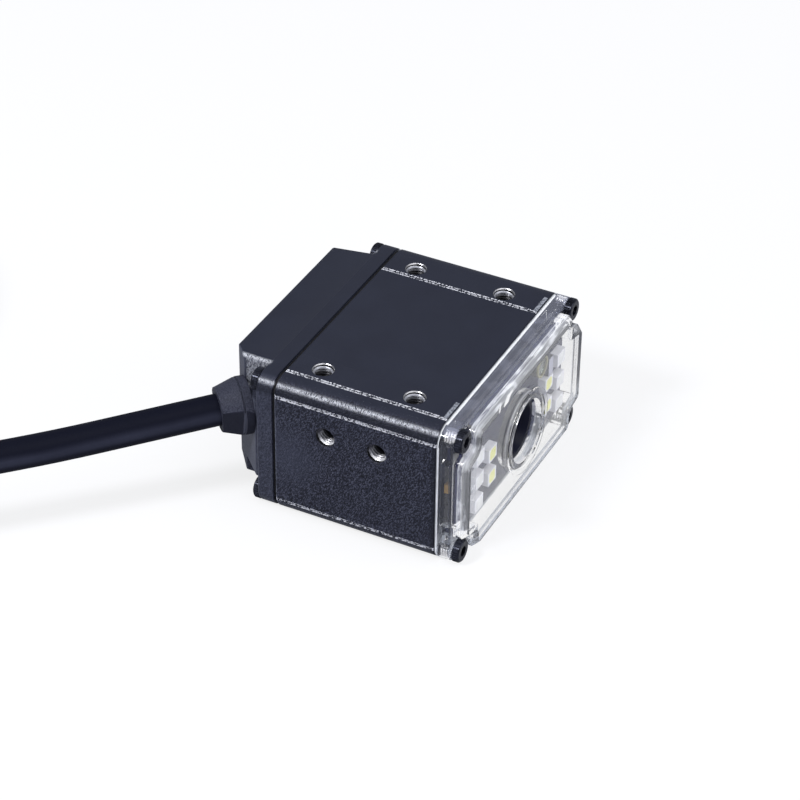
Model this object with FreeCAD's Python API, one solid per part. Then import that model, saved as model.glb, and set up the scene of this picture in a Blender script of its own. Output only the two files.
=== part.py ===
import FreeCAD, Part
import math
import os

# Fixed barcode reader: an extruded housing closed by a clear front cover and a cast rear cover.
# Millimetres. X is the width, the window looks along -Y and +Z is up.
# The origin is at the middle of the underside of the reader without its cord.

# Housing extrusion
body_width = 41.5
body_height = 23.2
body_length = 25.9
corner_radius = 2.8
side_wall = 2.4
floor_wall = 2.2
roof_wall = 2.2
end_chamfer = 0.25
pad_height = 0.2
pad_side_inset = 3.45
pad_width = 4.6
pad_ramp = 1.1
pad_margin = 0.4
pad_edge = 0.08
groove_inset = 2.4
groove_width = 0.35
groove_depth = 0.28
groove_margin = 0.4
corner_cut = 2.6

# Mounting holes of the housing
mount_radius = 1.5
mount_mouth = 0.2
mount_depth = 3.2
mount_floor = 1.0
top_hole_inset = 5.95
top_hole_rear = 4.9
top_hole_pitch = 14.6
side_hole_drop = 7.0
side_hole_rear = 8.2
side_hole_pitch = 8.2
rail_margin = 2.4

# Cover screws
screw_side_inset = 2.25
screw_end_inset = 1.9
screw_radius = 1.0
screw_head_radius = 1.7
screw_head_height = 1.15
screw_socket_flats = 1.5
screw_socket_depth = 0.7
screw_grip = 4.6
screw_fit = 0.02
screw_clearance = 0.15
screw_hole_extra = 0.8

# Seals
front_gasket_thickness = 0.25
rear_gasket_thickness = 0.4
rear_gasket_inset = 0.45
gasket_fit = 0.15

# Clear front cover
cover_flange = 2.15
cover_depth = 4.4
cover_wall = 1.3
plate_thickness = 1.2
box_side_inset = 0.65
block_screw_gap = 1.8
box_end_inset = 0.9
band_notch = 4.8
band_slope = 0.7
outline_radius = 1.6
notch_radius = 1.0
plate_edge = 0.95
flange_edge = 0.3
lens_lip_height = 0.25
lens_lip_width = 0.8
lens_lip_radius = 6.7
collar_inner = 5.0
collar_wall = 1.0
collar_gap = 0.3

# Light board
board_side_extra = 0.3
board_end_inset = 4.1
board_thickness = 1.0
board_fit = 0.3
board_lens_hole = 5.2
board_front_depth = 3.1
led_width = 2.6
led_height = 2.3
led_depth = 1.3
led_pitch = 4.1
led_inner_inset = 7.3
led_outer_inset = 3.1
led_face = 1.85
led_face_corner = 0.55
led_face_sink = 0.15
driver_chip_size = (1.5, 3.0, 1.25)
driver_chip_inset = 6.8
driver_chip_gap = 0.2
capacitor_size = (1.4, 1.5, 1.0)
capacitor_place = (1.4, -0.7)

# Lens, aiming light and their carrier
carrier_side_gap = 4.55
carrier_depth = 7.4
carrier_front_gap = 1.5
carrier_fit = 0.3
carrier_wall = 1.4
post_radius = 1.3
post_inset = 1.9
lens_barrel_fit = 0.05
lens_barrel_setback = 0.25
lens_barrel_length = 9.6
lens_mouth_radius = 4.15
lens_mouth_depth = 1.6
lens_bore_radius = 3.4
lens_step_depth = 5.2
lens_rear_bore = 2.6
front_lens_thickness = 1.5
rear_lens_thickness = 1.4
lock_ring_thickness = 0.8
lock_ring_bore = 2.5
lens_bulge = 0.5
lens_fit = 0.03
aimer_chip_gap = 1.1
aimer_roof_gap = 0.6
aimer_radius = 1.75
aimer_length = 8.5
aimer_bore = 1.45
aimer_lens_thickness = 0.8
aimer_lens_setback = 0.3
aimer_diode_radius = 1.1
aimer_diode_length = 2.0
aimer_reach = 1.5

# Boards in the housing
sensor_board_thickness = 1.0
sensor_chip_size = (7.2, 6.4, 1.0)
sensor_glass_size = (5.4, 4.6, 0.4)
decoder_board_thickness = 1.2
decoder_gap = 7.0
stack_side_gap = 0.75
stack_top_gap = 0.1
spacer_radius = 1.6
spacer_inset = 2.1
spacer_bore = 0.8
spacer_screw_head = 1.5
spacer_screw_cap = 0.7
processor_size = (9.0, 9.0, 1.1)
processor_place = (-5.5, 0.5)
memory_size = (6.0, 8.0, 0.9)
memory_place = (5.6, 0.5)
link_connector_size = (14.0, 2.6)
link_connector_place = (0.0, -5.9)
header_size = (12.0, 4.2, 3.2)
header_place = (1.5, -1.2)
header_wall = 0.5
lead_plug_length = 4.0
lead_plug_fit = 0.05

# Cast rear cover
rear_flange = 2.6
rear_depth = 8.8
rear_side_inset = 0.75
rear_block_gap = 2.1
rear_wall = 1.8
rear_low_inset = 2.2
rear_top_drop = 0.05
rear_side_draft = 1.2
rear_low_chamfer = 1.9
rear_chamfer = 5.6
rear_edge = 0.3
rear_side_edge = 1.0
rear_flange_edge = 0.4

# Strain relief on the chamfered corner of the rear cover
relief_drop = 8.2
relief_ring_radius = 4.35
relief_ring_length = 1.2
relief_groove = 0.25
relief_base_radius = 4.3
relief_tip_radius = 3.35
relief_length = 4.4
relief_flat = 2.75
relief_flat_taper = 0.8
relief_flat_tilt = 12.0
relief_neck_radius = 3.0
relief_neck_extra = 1.2
relief_fit = 0.05
relief_end_extra = 0.4

# Data cable, its coil and its plug
cable_radius = 2.4
cable_runs = [(-16.8, 17.05, -1.45), (-16.9, 17.05, -0.25)]
cable_to_coil = (-7.2, 22.7)
cable_last_run = 15.0
lead_wire_radius = 0.4
lead_wire_pitch = 0.85
lead_wire_drop = 0.3
lead_wire_run = 3.0
coil_turn_radius = 35.0
coil_pitch = 5.0
coil_turns_across = 2
coil_layers = 4
coil_layer_rise = 4.9
coil_edge = 2.0
coil_entry = 19.0
coil_exit_run = 8.0
plug_radius = 4.9
plug_nut_length = 7.0
plug_thread_radius = 4.0
plug_thread_length = 4.5
plug_bore_radius = 3.35
plug_insert_radius = 2.8
plug_insert_recess = 2.8
plug_pin_radius = 0.4
plug_pin_count = 5
plug_pin_circle = 1.8
plug_pin_length = 2.3
plug_grip_length = 19.0
plug_grip_tip_radius = 3.3
plug_grip_radius = 4.6
plug_rib_count = 5
plug_rib_depth = 0.4
plug_knurl_count = 16
plug_knurl_radius = 0.4
plug_running_gap = 0.05

# Places worked out from the sizes above
total_height = body_height + pad_height
seals = front_gasket_thickness + rear_gasket_thickness
total_depth = rear_depth + seals + body_length + cover_depth + lens_lip_height
mid_height = body_height / 2
half_width = body_width / 2
screw_x = half_width - screw_side_inset
pad_inner = half_width - pad_side_inset - pad_width
top_hole_x = half_width - top_hole_inset
side_hole_height = body_height - side_hole_drop
box_half_width = half_width - box_side_inset
block_half_width = screw_x - block_screw_gap
rear_half_width = half_width - rear_side_inset
rear_block_half_width = screw_x - rear_block_gap
band_low = band_notch
band_high = body_height - band_notch
board_half_width = block_half_width + board_side_extra
board_half_height = mid_height - board_end_inset
led_inner_x = board_half_width - led_inner_inset
led_outer_x = board_half_width - led_outer_inset
hump_rear = total_depth / 2
rear_cover_front = hump_rear - rear_depth
body_rear = rear_cover_front - rear_gasket_thickness
body_front = body_rear - body_length
cover_rear = body_front - front_gasket_thickness
plate_front = cover_rear - cover_depth
plate_inner = plate_front + plate_thickness
flange_front = cover_rear - cover_flange
flange_rear = rear_cover_front + rear_flange
hump_top = body_height - rear_top_drop
board_front = plate_front + board_front_depth
board_rear = board_front + board_thickness
screw_heights = (screw_end_inset, body_height - screw_end_inset)
cavity_half_width = half_width - side_wall
ceiling = body_height - roof_wall
rail_bottom = total_height - mount_depth - mount_floor
rail_side = half_width - mount_depth - mount_floor
rail_inner = pad_inner - 0.2
carrier_half_width = half_width - carrier_side_gap
carrier_front = board_rear + carrier_front_gap
carrier_rear = carrier_front + carrier_depth
carrier_low = floor_wall + carrier_fit
carrier_high = rail_bottom - carrier_fit
barrel_front = plate_inner + lens_barrel_setback
lens_barrel_radius = collar_inner - lens_barrel_fit
sensor_board_front = carrier_rear
decoder_front = sensor_board_front + sensor_board_thickness + decoder_gap
decoder_rear = decoder_front + decoder_board_thickness
stack_half_width = rail_side - stack_side_gap
stack_half_height = rail_bottom - mid_height - stack_top_gap
stack_low = mid_height - stack_half_height
stack_high = mid_height + stack_half_height
relief_seat = (-(rear_half_width - rear_chamfer / 2), hump_rear - rear_chamfer / 2,
               body_height - relief_drop)
relief_exit = tuple(seat + relief_length * step for seat, step in
                    zip(relief_seat, (-math.sqrt(0.5), math.sqrt(0.5), 0.0)))
coil_top = cable_radius + (coil_layers - 1) * coil_layer_rise


def vector(x, y, z):
    return FreeCAD.Vector(x, y, z)


def rounded_wire(corners, place):
    """Closed wire through (u, v, radius) corners, with place turning (u, v) into a point."""
    points = [vector(u, v, 0) for u, v, _ in corners]
    marks = []
    for index, (_, _, radius) in enumerate(corners):
        corner = points[index]
        back = (points[index - 1] - corner).normalize()
        ahead = (points[(index + 1) % len(points)] - corner).normalize()
        if radius == 0:
            marks.append((corner, corner, corner))
            continue
        half_angle = back.getAngle(ahead) / 2
        reach = radius / math.tan(half_angle)
        bisector = (back + ahead).normalize()
        middle = corner + bisector * (radius / math.sin(half_angle) - radius)
        marks.append((corner + back * reach, middle, corner + ahead * reach))
    edges = []
    for index, (start, middle, end) in enumerate(marks):
        if (end - start).Length > 1e-6:
            edges.append(Part.Arc(place(start), place(middle), place(end)).toShape())
        following = marks[(index + 1) % len(marks)][0]
        if (following - end).Length > 1e-6:
            edges.append(Part.LineSegment(place(end), place(following)).toShape())
    return Part.Wire(edges)


def slab(corners, front, rear):
    """Prism of an XZ outline between two depths."""
    wire = rounded_wire(corners, lambda p: vector(p.x, front, p.y))
    return Part.Face(wire).extrude(vector(0, rear - front, 0))


def rectangle(half_width, low, high, radius):
    return [(-half_width, low, radius), (half_width, low, radius),
            (half_width, high, radius), (-half_width, high, radius)]


def block(centre_x, centre_z, size_x, size_z, front, rear):
    return Part.makeBox(size_x, rear - front, size_z,
                        vector(centre_x - size_x / 2, front, centre_z - size_z / 2))


def rod(x, z, radius, front, rear):
    return Part.makeCylinder(radius, rear - front, vector(x, front, z), vector(0, 1, 0))


def ring(x, z, outer, inner, front, rear):
    return rod(x, z, outer, front, rear).cut(rod(x, z, inner, front, rear))


def turned(points, axis_point, axis_direction, reference):
    """Solid of revolution of (radius, distance along the axis) points."""
    base = vector(*axis_point)
    along = vector(*axis_direction).normalize()
    across = vector(*reference).normalize()
    corners = [base + across * radius + along * distance for radius, distance in points]
    face = Part.Face(Part.makePolygon(corners + corners[:1]))
    return face.revolve(base, along, 360)


def end_edges(shape, depth):
    """Edges that lie wholly in the plane y = depth."""
    return [edge for edge in shape.Edges
            if all(abs(vertex.Point.y - depth) < 1e-6 for vertex in edge.Vertexes)]


def outer_edges(shape, depth, reach):
    """Edges in the plane y = depth that belong to the outline, not to a hole inside it."""
    return [edge for edge in end_edges(shape, depth)
            if max(abs(edge.BoundBox.XMax), abs(edge.BoundBox.XMin)) > reach]


def screw_places():
    return [(side * screw_x, height) for side in (-1, 1) for height in screw_heights]


def plus_outline(inset, middle_half, block_half, low, high):
    """Outline of a box whose four corners are notched for the cover screws."""
    convex = outline_radius - min(inset, outline_radius - 0.4)
    side = block_half - inset
    band = middle_half - inset
    low_step = band_low + inset
    high_step = band_high - inset
    right = [(side, low + inset, convex), (side, low_step - band_slope, notch_radius),
             (band, low_step, convex), (band, high_step, convex),
             (side, high_step + band_slope, notch_radius), (side, high - inset, convex)]
    left = [(-x, z, radius) for x, z, radius in reversed(right)]
    return right + left


def housing_cavity():
    """Inside outline of the extrusion, with rails under the mounting holes and cut corners."""
    side_rail = side_hole_height - rail_margin
    right = [(cavity_half_width - corner_cut, floor_wall, 0),
             (cavity_half_width, floor_wall + corner_cut, 0),
             (cavity_half_width, side_rail, 0), (rail_side, side_rail, 0),
             (rail_side, rail_bottom, 0), (rail_inner, rail_bottom, 0),
             (rail_inner, ceiling, 0)]
    left = [(-x, z, radius) for x, z, radius in reversed(right)]
    return right + left


def mounting_pad(side):
    """Raised strip that carries the top mounting holes, with a ramp at its front end."""
    middle = side * (pad_inner + pad_width / 2)
    strip = block(middle, total_height - pad_height, pad_width, 2 * pad_height,
                  body_front + pad_margin, body_rear - pad_margin)
    ridge = [edge for edge in strip.Edges
             if abs(edge.BoundBox.ZMin - total_height) < 1e-6 and edge.BoundBox.YLength > 1]
    strip = strip.makeFillet(pad_edge, ridge)
    ramp_start = body_front + pad_margin
    ramp = Part.makePolygon([
        vector(middle - pad_width, ramp_start, body_height),
        vector(middle - pad_width, ramp_start + pad_ramp, total_height),
        vector(middle - pad_width, ramp_start, total_height + pad_height),
        vector(middle - pad_width, ramp_start, body_height)])
    return strip.cut(Part.Face(ramp).extrude(vector(2 * pad_width, 0, 0)))


def tapped_hole(mouth, inward):
    """Blind hole at its nominal thread radius, with a small countersink at the mouth."""
    start = vector(*mouth)
    direction = vector(*inward)
    hole = Part.makeCylinder(mount_radius, mount_depth, start, direction)
    sink = Part.makeCone(mount_radius + mount_mouth, mount_radius, mount_mouth, start, direction)
    return hole.fuse(sink)


def top_hole_depths():
    return [body_rear - top_hole_rear - step * top_hole_pitch for step in (0, 1)]


def side_hole_depths():
    return [body_rear - side_hole_rear - step * side_hole_pitch for step in (0, 1)]


def make_housing():
    body = slab(rectangle(half_width, 0, body_height, corner_radius), body_front, body_rear)
    rims = end_edges(body, body_front) + end_edges(body, body_rear)
    body = body.makeChamfer(end_chamfer, rims)
    for side in (-1, 1):
        body = body.fuse(mounting_pad(side))
    body = body.removeSplitter()
    body = body.cut(slab(housing_cavity(), body_front, body_rear))
    for side in (-1, 1):
        for height in (groove_inset, body_height - groove_inset):
            body = body.cut(block(side * half_width, height, 2 * groove_depth, groove_width,
                                  body_front + groove_margin, body_rear - groove_margin))
        for depth in top_hole_depths():
            body = body.cut(tapped_hole((side * top_hole_x, depth, total_height), (0, 0, -1)))
        for depth in side_hole_depths():
            body = body.cut(tapped_hole((side * half_width, depth, side_hole_height),
                                        (-side, 0, 0)))
    screw_hole = screw_grip + screw_hole_extra
    for x, z in screw_places():
        for front in (body_front, body_rear - screw_hole):
            body = body.cut(rod(x, z, screw_radius + screw_fit, front, front + screw_hole))
    return body


def make_cover_screws(seat, outward, grip):
    """Four socket head screws with their heads on the seat and shanks reaching inward."""
    screws = []
    for x, z in screw_places():
        top = seat + outward * screw_head_height
        head = rod(x, z, screw_head_radius, min(seat, top), max(seat, top))
        face_edges = end_edges(head, top)
        head = head.makeChamfer(0.15, face_edges)
        tip = seat - outward * grip
        shank = rod(x, z, screw_radius, min(seat, tip), max(seat, tip))
        socket_radius = screw_socket_flats / math.sqrt(3)
        corners = [vector(x + socket_radius * math.cos(math.radians(60 * turn)), top,
                          z + socket_radius * math.sin(math.radians(60 * turn)))
                   for turn in range(7)]
        socket = Part.Face(Part.makePolygon(corners))
        socket = socket.extrude(vector(0, -outward * screw_socket_depth, 0))
        screws.append(head.fuse(shank).removeSplitter().cut(socket))
    return Part.makeCompound(screws)


def make_front_gasket():
    seal = slab(rectangle(half_width, 0, body_height, corner_radius), cover_rear, body_front)
    seal = seal.cut(slab(front_cavity_outline(gasket_fit), cover_rear, body_front))
    seal = seal.cut(board_pocket(cover_rear, body_front))
    for x, z in screw_places():
        seal = seal.cut(rod(x, z, screw_radius + screw_clearance, cover_rear, body_front))
    return seal


def front_cavity_outline(extra):
    return plus_outline(cover_wall - extra, box_half_width, block_half_width,
                        box_end_inset, body_height - box_end_inset)


def board_pocket(front, rear):
    """Room for the light board where it is wider than the notched box."""
    low = mid_height - board_half_height - board_fit
    high = mid_height + board_half_height + board_fit
    return slab(rectangle(board_half_width + board_fit, low, high, 0.5), front, rear)


def make_front_cover():
    flange = slab(rectangle(half_width, 0, body_height, corner_radius),
                  flange_front, cover_rear)
    flange = flange.makeFillet(flange_edge, end_edges(flange, flange_front))
    box = slab(plus_outline(0, box_half_width, block_half_width,
                            box_end_inset, body_height - box_end_inset),
               plate_front, cover_rear)
    box = box.makeChamfer(plate_edge, end_edges(box, plate_front))
    lip = ring(0, mid_height, lens_lip_radius, lens_lip_radius - lens_lip_width,
               plate_front - lens_lip_height, plate_inner)
    cover = flange.fuse(box).fuse(lip).removeSplitter()
    cover = cover.cut(slab(front_cavity_outline(0), plate_inner, cover_rear))
    cover = cover.cut(board_pocket(board_front - board_fit, cover_rear))
    collar = ring(0, mid_height, collar_inner + collar_wall, collar_inner,
                  plate_inner - plate_thickness / 2, board_front - collar_gap)
    cover = cover.fuse(collar).removeSplitter()
    cover = cover.cut(rod(0, mid_height, collar_inner, plate_front - lens_lip_height, plate_inner))
    for x, z in screw_places():
        cover = cover.cut(rod(x, z, screw_radius + screw_clearance, flange_front, cover_rear))
    return cover


def white_led_places():
    return [(side * led_inner_x, mid_height + step * led_pitch)
            for side in (-1, 1) for step in (-0.5, 0.5)]


def side_led_places():
    return [(side * led_outer_x, mid_height + step * led_pitch)
            for side in (-1, 1) for step in (-1, 0, 1)]


def led_window(x, z):
    """Rounded square of phosphor or clear resin, sunk flush into the face of a package."""
    front = board_front - led_depth
    face = slab(rectangle(led_face / 2, -led_face / 2, led_face / 2, led_face_corner),
                front, front + led_face_sink)
    return face.translated(vector(x, 0, z))


def make_led_bodies(places):
    """Square packages on the board, each with a shallow well in its face."""
    bodies = []
    for x, z in places:
        package = block(x, z, led_width, led_height, board_front - led_depth, board_front)
        bodies.append(package.cut(led_window(x, z)))
    return Part.makeCompound(bodies)


def make_led_faces(places):
    return Part.makeCompound([led_window(x, z) for x, z in places])


def aimer_place():
    """Left of the driver chip, just under the roof."""
    chip_edge = board_half_width - driver_chip_inset - driver_chip_size[0] / 2
    return chip_edge - aimer_chip_gap - aimer_radius, ceiling - aimer_roof_gap - aimer_radius


def post_places():
    """Corners where the carrier holds the light board."""
    across = board_half_width - post_inset
    upright = board_half_height - post_inset
    return [(sx * min(across, carrier_half_width - post_radius), mid_height + sz * upright)
            for sx in (-1, 1) for sz in (-1, 1)]


def make_light_board():
    board = slab(rectangle(board_half_width, mid_height - board_half_height,
                           mid_height + board_half_height, 0.5), board_front, board_rear)
    board = board.cut(rod(0, mid_height, board_lens_hole, board_front, board_rear))
    x, z = aimer_place()
    return board.cut(rod(x, z, aimer_radius + lens_fit, board_front, board_rear))


def make_driver_chip():
    size_x, size_z, size_y = driver_chip_size
    x = board_half_width - driver_chip_inset
    height = mid_height + (led_pitch + led_height + size_z) / 2 + driver_chip_gap
    return block(x, height, size_x, size_z, board_front - size_y, board_front)


def make_board_capacitors():
    size_x, size_z, size_y = capacitor_size
    inward, up = capacitor_place
    x = board_half_width - inward
    return Part.makeCompound([
        block(side * x, mid_height + up, size_x, size_z, board_rear, board_rear + size_y)
        for side in (-1, 1)])


def make_optics_carrier():
    """Moulded block that holds the lens barrel, the aiming light and the light board."""
    carrier = slab(rectangle(carrier_half_width, carrier_low, carrier_high, 0.8),
                   carrier_front, carrier_rear)
    for x, z in post_places():
        carrier = carrier.fuse(rod(x, z, post_radius, board_rear, carrier_front))
    carrier = carrier.removeSplitter()
    pocket_front = carrier_front + 2 * carrier_wall
    inner_half = lens_barrel_radius + carrier_wall
    for side in (-1, 1):
        left = side * (inner_half + carrier_half_width - carrier_wall) / 2
        width = carrier_half_width - carrier_wall - inner_half
        height = carrier_high - carrier_low - 2 * carrier_wall
        pocket = block(left, (carrier_low + carrier_high) / 2, width, height,
                       pocket_front, carrier_rear)
        carrier = carrier.cut(pocket)
    x, z = aimer_place()
    boss = rod(x, z, aimer_radius + carrier_wall, carrier_front, aimer_rear() + carrier_wall)
    room = block(0, mid_height, body_width, 2 * (ceiling - carrier_fit - mid_height),
                 carrier_front, carrier_rear)
    carrier = carrier.fuse(boss.common(room)).removeSplitter()
    carrier = carrier.cut(rod(x, z, aimer_radius + lens_fit, carrier_front, aimer_rear()))
    carrier = carrier.cut(rod(0, mid_height, lens_barrel_radius + lens_fit,
                              carrier_front, barrel_front + lens_barrel_length))
    chip_x, chip_z, chip_y = sensor_chip_size
    window = 2 * lens_rear_bore + 2 * carrier_wall
    return carrier.cut(block(0, mid_height, max(chip_x + 1, window), max(chip_z + 1, window),
                             barrel_front + lens_barrel_length, carrier_rear))


def make_lens_barrel():
    rear = lens_barrel_length
    profile = [(lens_mouth_radius, 0), (lens_barrel_radius, 0.0), (lens_barrel_radius, rear),
               (lens_rear_bore, rear), (lens_rear_bore, lens_step_depth),
               (lens_bore_radius, lens_step_depth), (lens_bore_radius, lens_mouth_depth)]
    return turned(profile, (0, barrel_front, mid_height), (0, 1, 0), (1, 0, 0))


def lens_disc(radius, front, thickness, bulge):
    """Round lens element with one bulged face towards the window."""
    flat = [vector(0, front, mid_height), vector(radius, front + bulge, mid_height),
            vector(radius, front + thickness, mid_height),
            vector(0, front + thickness, mid_height)]
    half = vector(radius / 2, front + bulge / 4, mid_height)
    edges = [Part.Arc(flat[0], half, flat[1]).toShape()]
    edges += [Part.LineSegment(flat[index], flat[(index + 1) % 4]).toShape()
              for index in (1, 2, 3)]
    return Part.Face(Part.Wire(edges)).revolve(flat[0], vector(0, 1, 0), 360)


def make_lens_front_element():
    front = barrel_front + lens_step_depth - front_lens_thickness
    return lens_disc(lens_bore_radius - lens_fit, front, front_lens_thickness, lens_bulge)


def make_lens_lock_ring():
    rear = barrel_front + lens_step_depth - front_lens_thickness + lens_bulge / 2
    return ring(0, mid_height, lens_bore_radius - lens_fit, lock_ring_bore,
                rear - lock_ring_thickness, rear)


def make_lens_rear_element():
    front = barrel_front + lens_barrel_length - rear_lens_thickness - 0.5
    return lens_disc(lens_rear_bore - lens_fit, front, rear_lens_thickness, lens_bulge / 2)


def aimer_front():
    return board_front - aimer_reach


def aimer_rear():
    return aimer_front() + aimer_length


def make_aimer_tube():
    x, z = aimer_place()
    tube = rod(x, z, aimer_radius, aimer_front(), aimer_rear())
    return tube.cut(rod(x, z, aimer_bore, aimer_front(), aimer_rear()))


def make_aimer_lens():
    x, z = aimer_place()
    front = aimer_front() + aimer_lens_setback
    return rod(x, z, aimer_bore - lens_fit, front, front + aimer_lens_thickness)


def make_aimer_diode():
    x, z = aimer_place()
    rear = aimer_rear()
    base = rod(x, z, aimer_bore - lens_fit, rear - 0.6, rear)
    dome = rod(x, z, aimer_diode_radius, rear - aimer_diode_length, rear - 0.6)
    return base.fuse(dome).removeSplitter()


def stack_board(front, rear):
    return slab(rectangle(stack_half_width, stack_low, stack_high, 0.8), front, rear)


def spacer_places():
    across = stack_half_width - spacer_inset
    upright = stack_half_height - spacer_inset
    return [(sx * across, mid_height + sz * upright) for sx in (-1, 1) for sz in (-1, 1)]


def make_sensor_board():
    rear = sensor_board_front + sensor_board_thickness
    board = stack_board(sensor_board_front, rear)
    for x, z in spacer_places():
        board = board.cut(rod(x, z, spacer_bore + screw_clearance, sensor_board_front, rear))
    return board


def make_image_sensor():
    size_x, size_z, size_y = sensor_chip_size
    return block(0, mid_height, size_x, size_z, sensor_board_front - size_y, sensor_board_front)


def make_sensor_glass():
    size_x, size_z, size_y = sensor_glass_size
    rear = sensor_board_front - sensor_chip_size[2]
    return block(0, mid_height, size_x, size_z, rear - size_y, rear)


def make_board_spacers():
    front = sensor_board_front + sensor_board_thickness
    spacers = []
    for x, z in spacer_places():
        hexagon = [vector(x + spacer_radius * math.cos(math.radians(60 * turn)), front,
                          z + spacer_radius * math.sin(math.radians(60 * turn)))
                   for turn in range(7)]
        post = Part.Face(Part.makePolygon(hexagon)).extrude(vector(0, decoder_gap, 0))
        spacers.append(post.cut(rod(x, z, spacer_bore + screw_fit, front, decoder_front)))
    return Part.makeCompound(spacers)


def make_spacer_screws():
    """Pan head screws through the decoder board into the spacers."""
    screws = []
    for x, z in spacer_places():
        head = rod(x, z, spacer_screw_head, decoder_rear, decoder_rear + spacer_screw_cap)
        shank = rod(x, z, spacer_bore, decoder_front - decoder_gap / 2, decoder_rear)
        slot = block(x, z, 2 * spacer_screw_head, 0.4,
                     decoder_rear + spacer_screw_cap / 2, decoder_rear + spacer_screw_cap)
        screws.append(head.fuse(shank).removeSplitter().cut(slot))
    return Part.makeCompound(screws)


def make_decoder_board():
    board = stack_board(decoder_front, decoder_rear)
    for x, z in spacer_places():
        board = board.cut(rod(x, z, spacer_bore + screw_clearance, decoder_front, decoder_rear))
    return board


def chip_on_decoder(size, place):
    size_x, size_z, size_y = size
    x, up = place
    return block(x, mid_height + up, size_x, size_z, decoder_front - size_y, decoder_front)


def make_link_connector():
    """Board to board connector, socket and plug mated as one block."""
    size_x, size_z = link_connector_size
    x, up = link_connector_place
    return block(x, mid_height + up, size_x, size_z,
                 sensor_board_front + sensor_board_thickness, decoder_front)


def header_centre():
    x, up = header_place
    return x, mid_height + up


def make_cable_header():
    """Open box header for the cable leads on the back of the decoder board."""
    size_x, size_z, size_y = header_size
    x, z = header_centre()
    shell = block(x, z, size_x, size_z, decoder_rear, decoder_rear + size_y)
    return shell.cut(block(x, z, size_x - 2 * header_wall, size_z - 2 * header_wall,
                           decoder_rear + header_wall, decoder_rear + size_y))


def make_lead_plug():
    size_x, size_z, _ = header_size
    x, z = header_centre()
    front = decoder_rear + header_wall
    trim = 2 * header_wall + 2 * lead_plug_fit
    return block(x, z, size_x - trim, size_z - trim, front, front + lead_plug_length)


def hump_prism(half_width, low, high, inset):
    """Prism with the 45 degree corner on its left and a draft on its right side."""
    left = inset - half_width
    right = half_width - inset
    rear = hump_rear - inset
    corner = rear_chamfer - rear_half_width + inset * (math.sqrt(2) - 1)
    plan = [(left, rear_cover_front), (right, rear_cover_front), (right, flange_rear),
            (right - rear_side_draft, rear), (corner, rear), (left, rear - (corner - left))]
    points = [vector(x, y, low + inset) for x, y in plan]
    face = Part.Face(Part.makePolygon(points + points[:1]))
    return face.extrude(vector(0, 0, high - low - 2 * inset))


def top_side_edges(block_shape):
    """Top edges of the middle block that run front to rear on its two sides."""
    return [edge for edge in block_shape.Edges
            if edge.BoundBox.ZMin > hump_top - 0.01
            and edge.BoundBox.YLength > 2 * edge.BoundBox.XLength]


def hump_shape(inset):
    """Middle block and wider band of the rear cover, or the hollow inside them."""
    tall = hump_prism(rear_block_half_width, rear_low_inset, hump_top, inset)
    if inset == 0:
        tall = tall.makeFillet(rear_side_edge, top_side_edges(tall))
    band = hump_prism(rear_half_width, band_low, band_high, inset)
    return tall.fuse(band).removeSplitter()


def low_cutter():
    """Wedge that chamfers the lower rear edge."""
    left = -rear_half_width - 1
    points = [vector(left, hump_rear - rear_low_chamfer, rear_low_inset),
              vector(left, hump_rear, rear_low_inset + rear_low_chamfer),
              vector(left, hump_rear + 1, rear_low_inset + rear_low_chamfer),
              vector(left, hump_rear + 1, rear_low_inset - 1),
              vector(left, hump_rear - rear_low_chamfer, rear_low_inset - 1)]
    face = Part.Face(Part.makePolygon(points + points[:1]))
    return face.extrude(vector(2 * rear_half_width + 2, 0, 0))


def free_edges(shape):
    """Sharp edges of the hump, without those in the sealing plane."""
    sharp = []
    for edge in shape.Edges:
        if edge.BoundBox.YMax < rear_cover_front + 0.01:
            continue
        sides = shape.ancestorsOfType(edge, Part.Face)
        spot = edge.valueAt((edge.FirstParameter + edge.LastParameter) / 2)
        first, second = [side.normalAt(*side.Surface.parameter(spot)) for side in sides]
        if first.getAngle(second) > math.radians(5):
            sharp.append(edge)
    return sharp


def make_rear_cover():
    flange = slab(rectangle(half_width, 0, body_height, corner_radius),
                  rear_cover_front, flange_rear)
    flange = flange.makeFillet(rear_flange_edge, end_edges(flange, flange_rear))
    hump = hump_shape(0).cut(low_cutter())
    hump = hump.makeFillet(rear_edge, free_edges(hump))
    cover = flange.fuse(hump).removeSplitter()
    cover = cover.cut(hump_shape(rear_wall)).cut(relief_bore())
    for x, z in screw_places():
        cover = cover.cut(rod(x, z, screw_radius + screw_clearance, rear_cover_front, flange_rear))
    return cover


def rear_opening(extra):
    """Opening of the rear cover in the plane of its seal."""
    gap = rear_wall - extra
    tall = block(0, (rear_low_inset + hump_top) / 2, 2 * (rear_block_half_width - gap),
                 hump_top - rear_low_inset - 2 * gap, body_rear, rear_cover_front)
    band = block(0, mid_height, 2 * (rear_half_width - gap),
                 band_high - band_low - 2 * gap,
                 body_rear, rear_cover_front)
    return tall.fuse(band)


def make_rear_gasket():
    inset = rear_gasket_inset
    outline = [(inset - half_width, inset), (half_width - inset, body_height - inset)]
    corners = [(outline[side][0], outline[end][1], corner_radius - inset)
               for side, end in ((0, 0), (1, 0), (1, 1), (0, 1))]
    seal = slab(corners, body_rear, rear_cover_front)
    seal = seal.cut(rear_opening(gasket_fit))
    for x, z in screw_places():
        seal = seal.cut(rod(x, z, screw_radius + screw_clearance, body_rear, rear_cover_front))
    return seal


def relief_axis():
    return (-math.sqrt(0.5), math.sqrt(0.5), 0)


def relief_bore():
    seat = vector(*relief_seat)
    along = vector(*relief_axis())
    reach = 2 * rear_wall
    return Part.makeCylinder(relief_neck_radius + relief_fit, reach + 2,
                             seat - along * reach, along)


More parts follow.
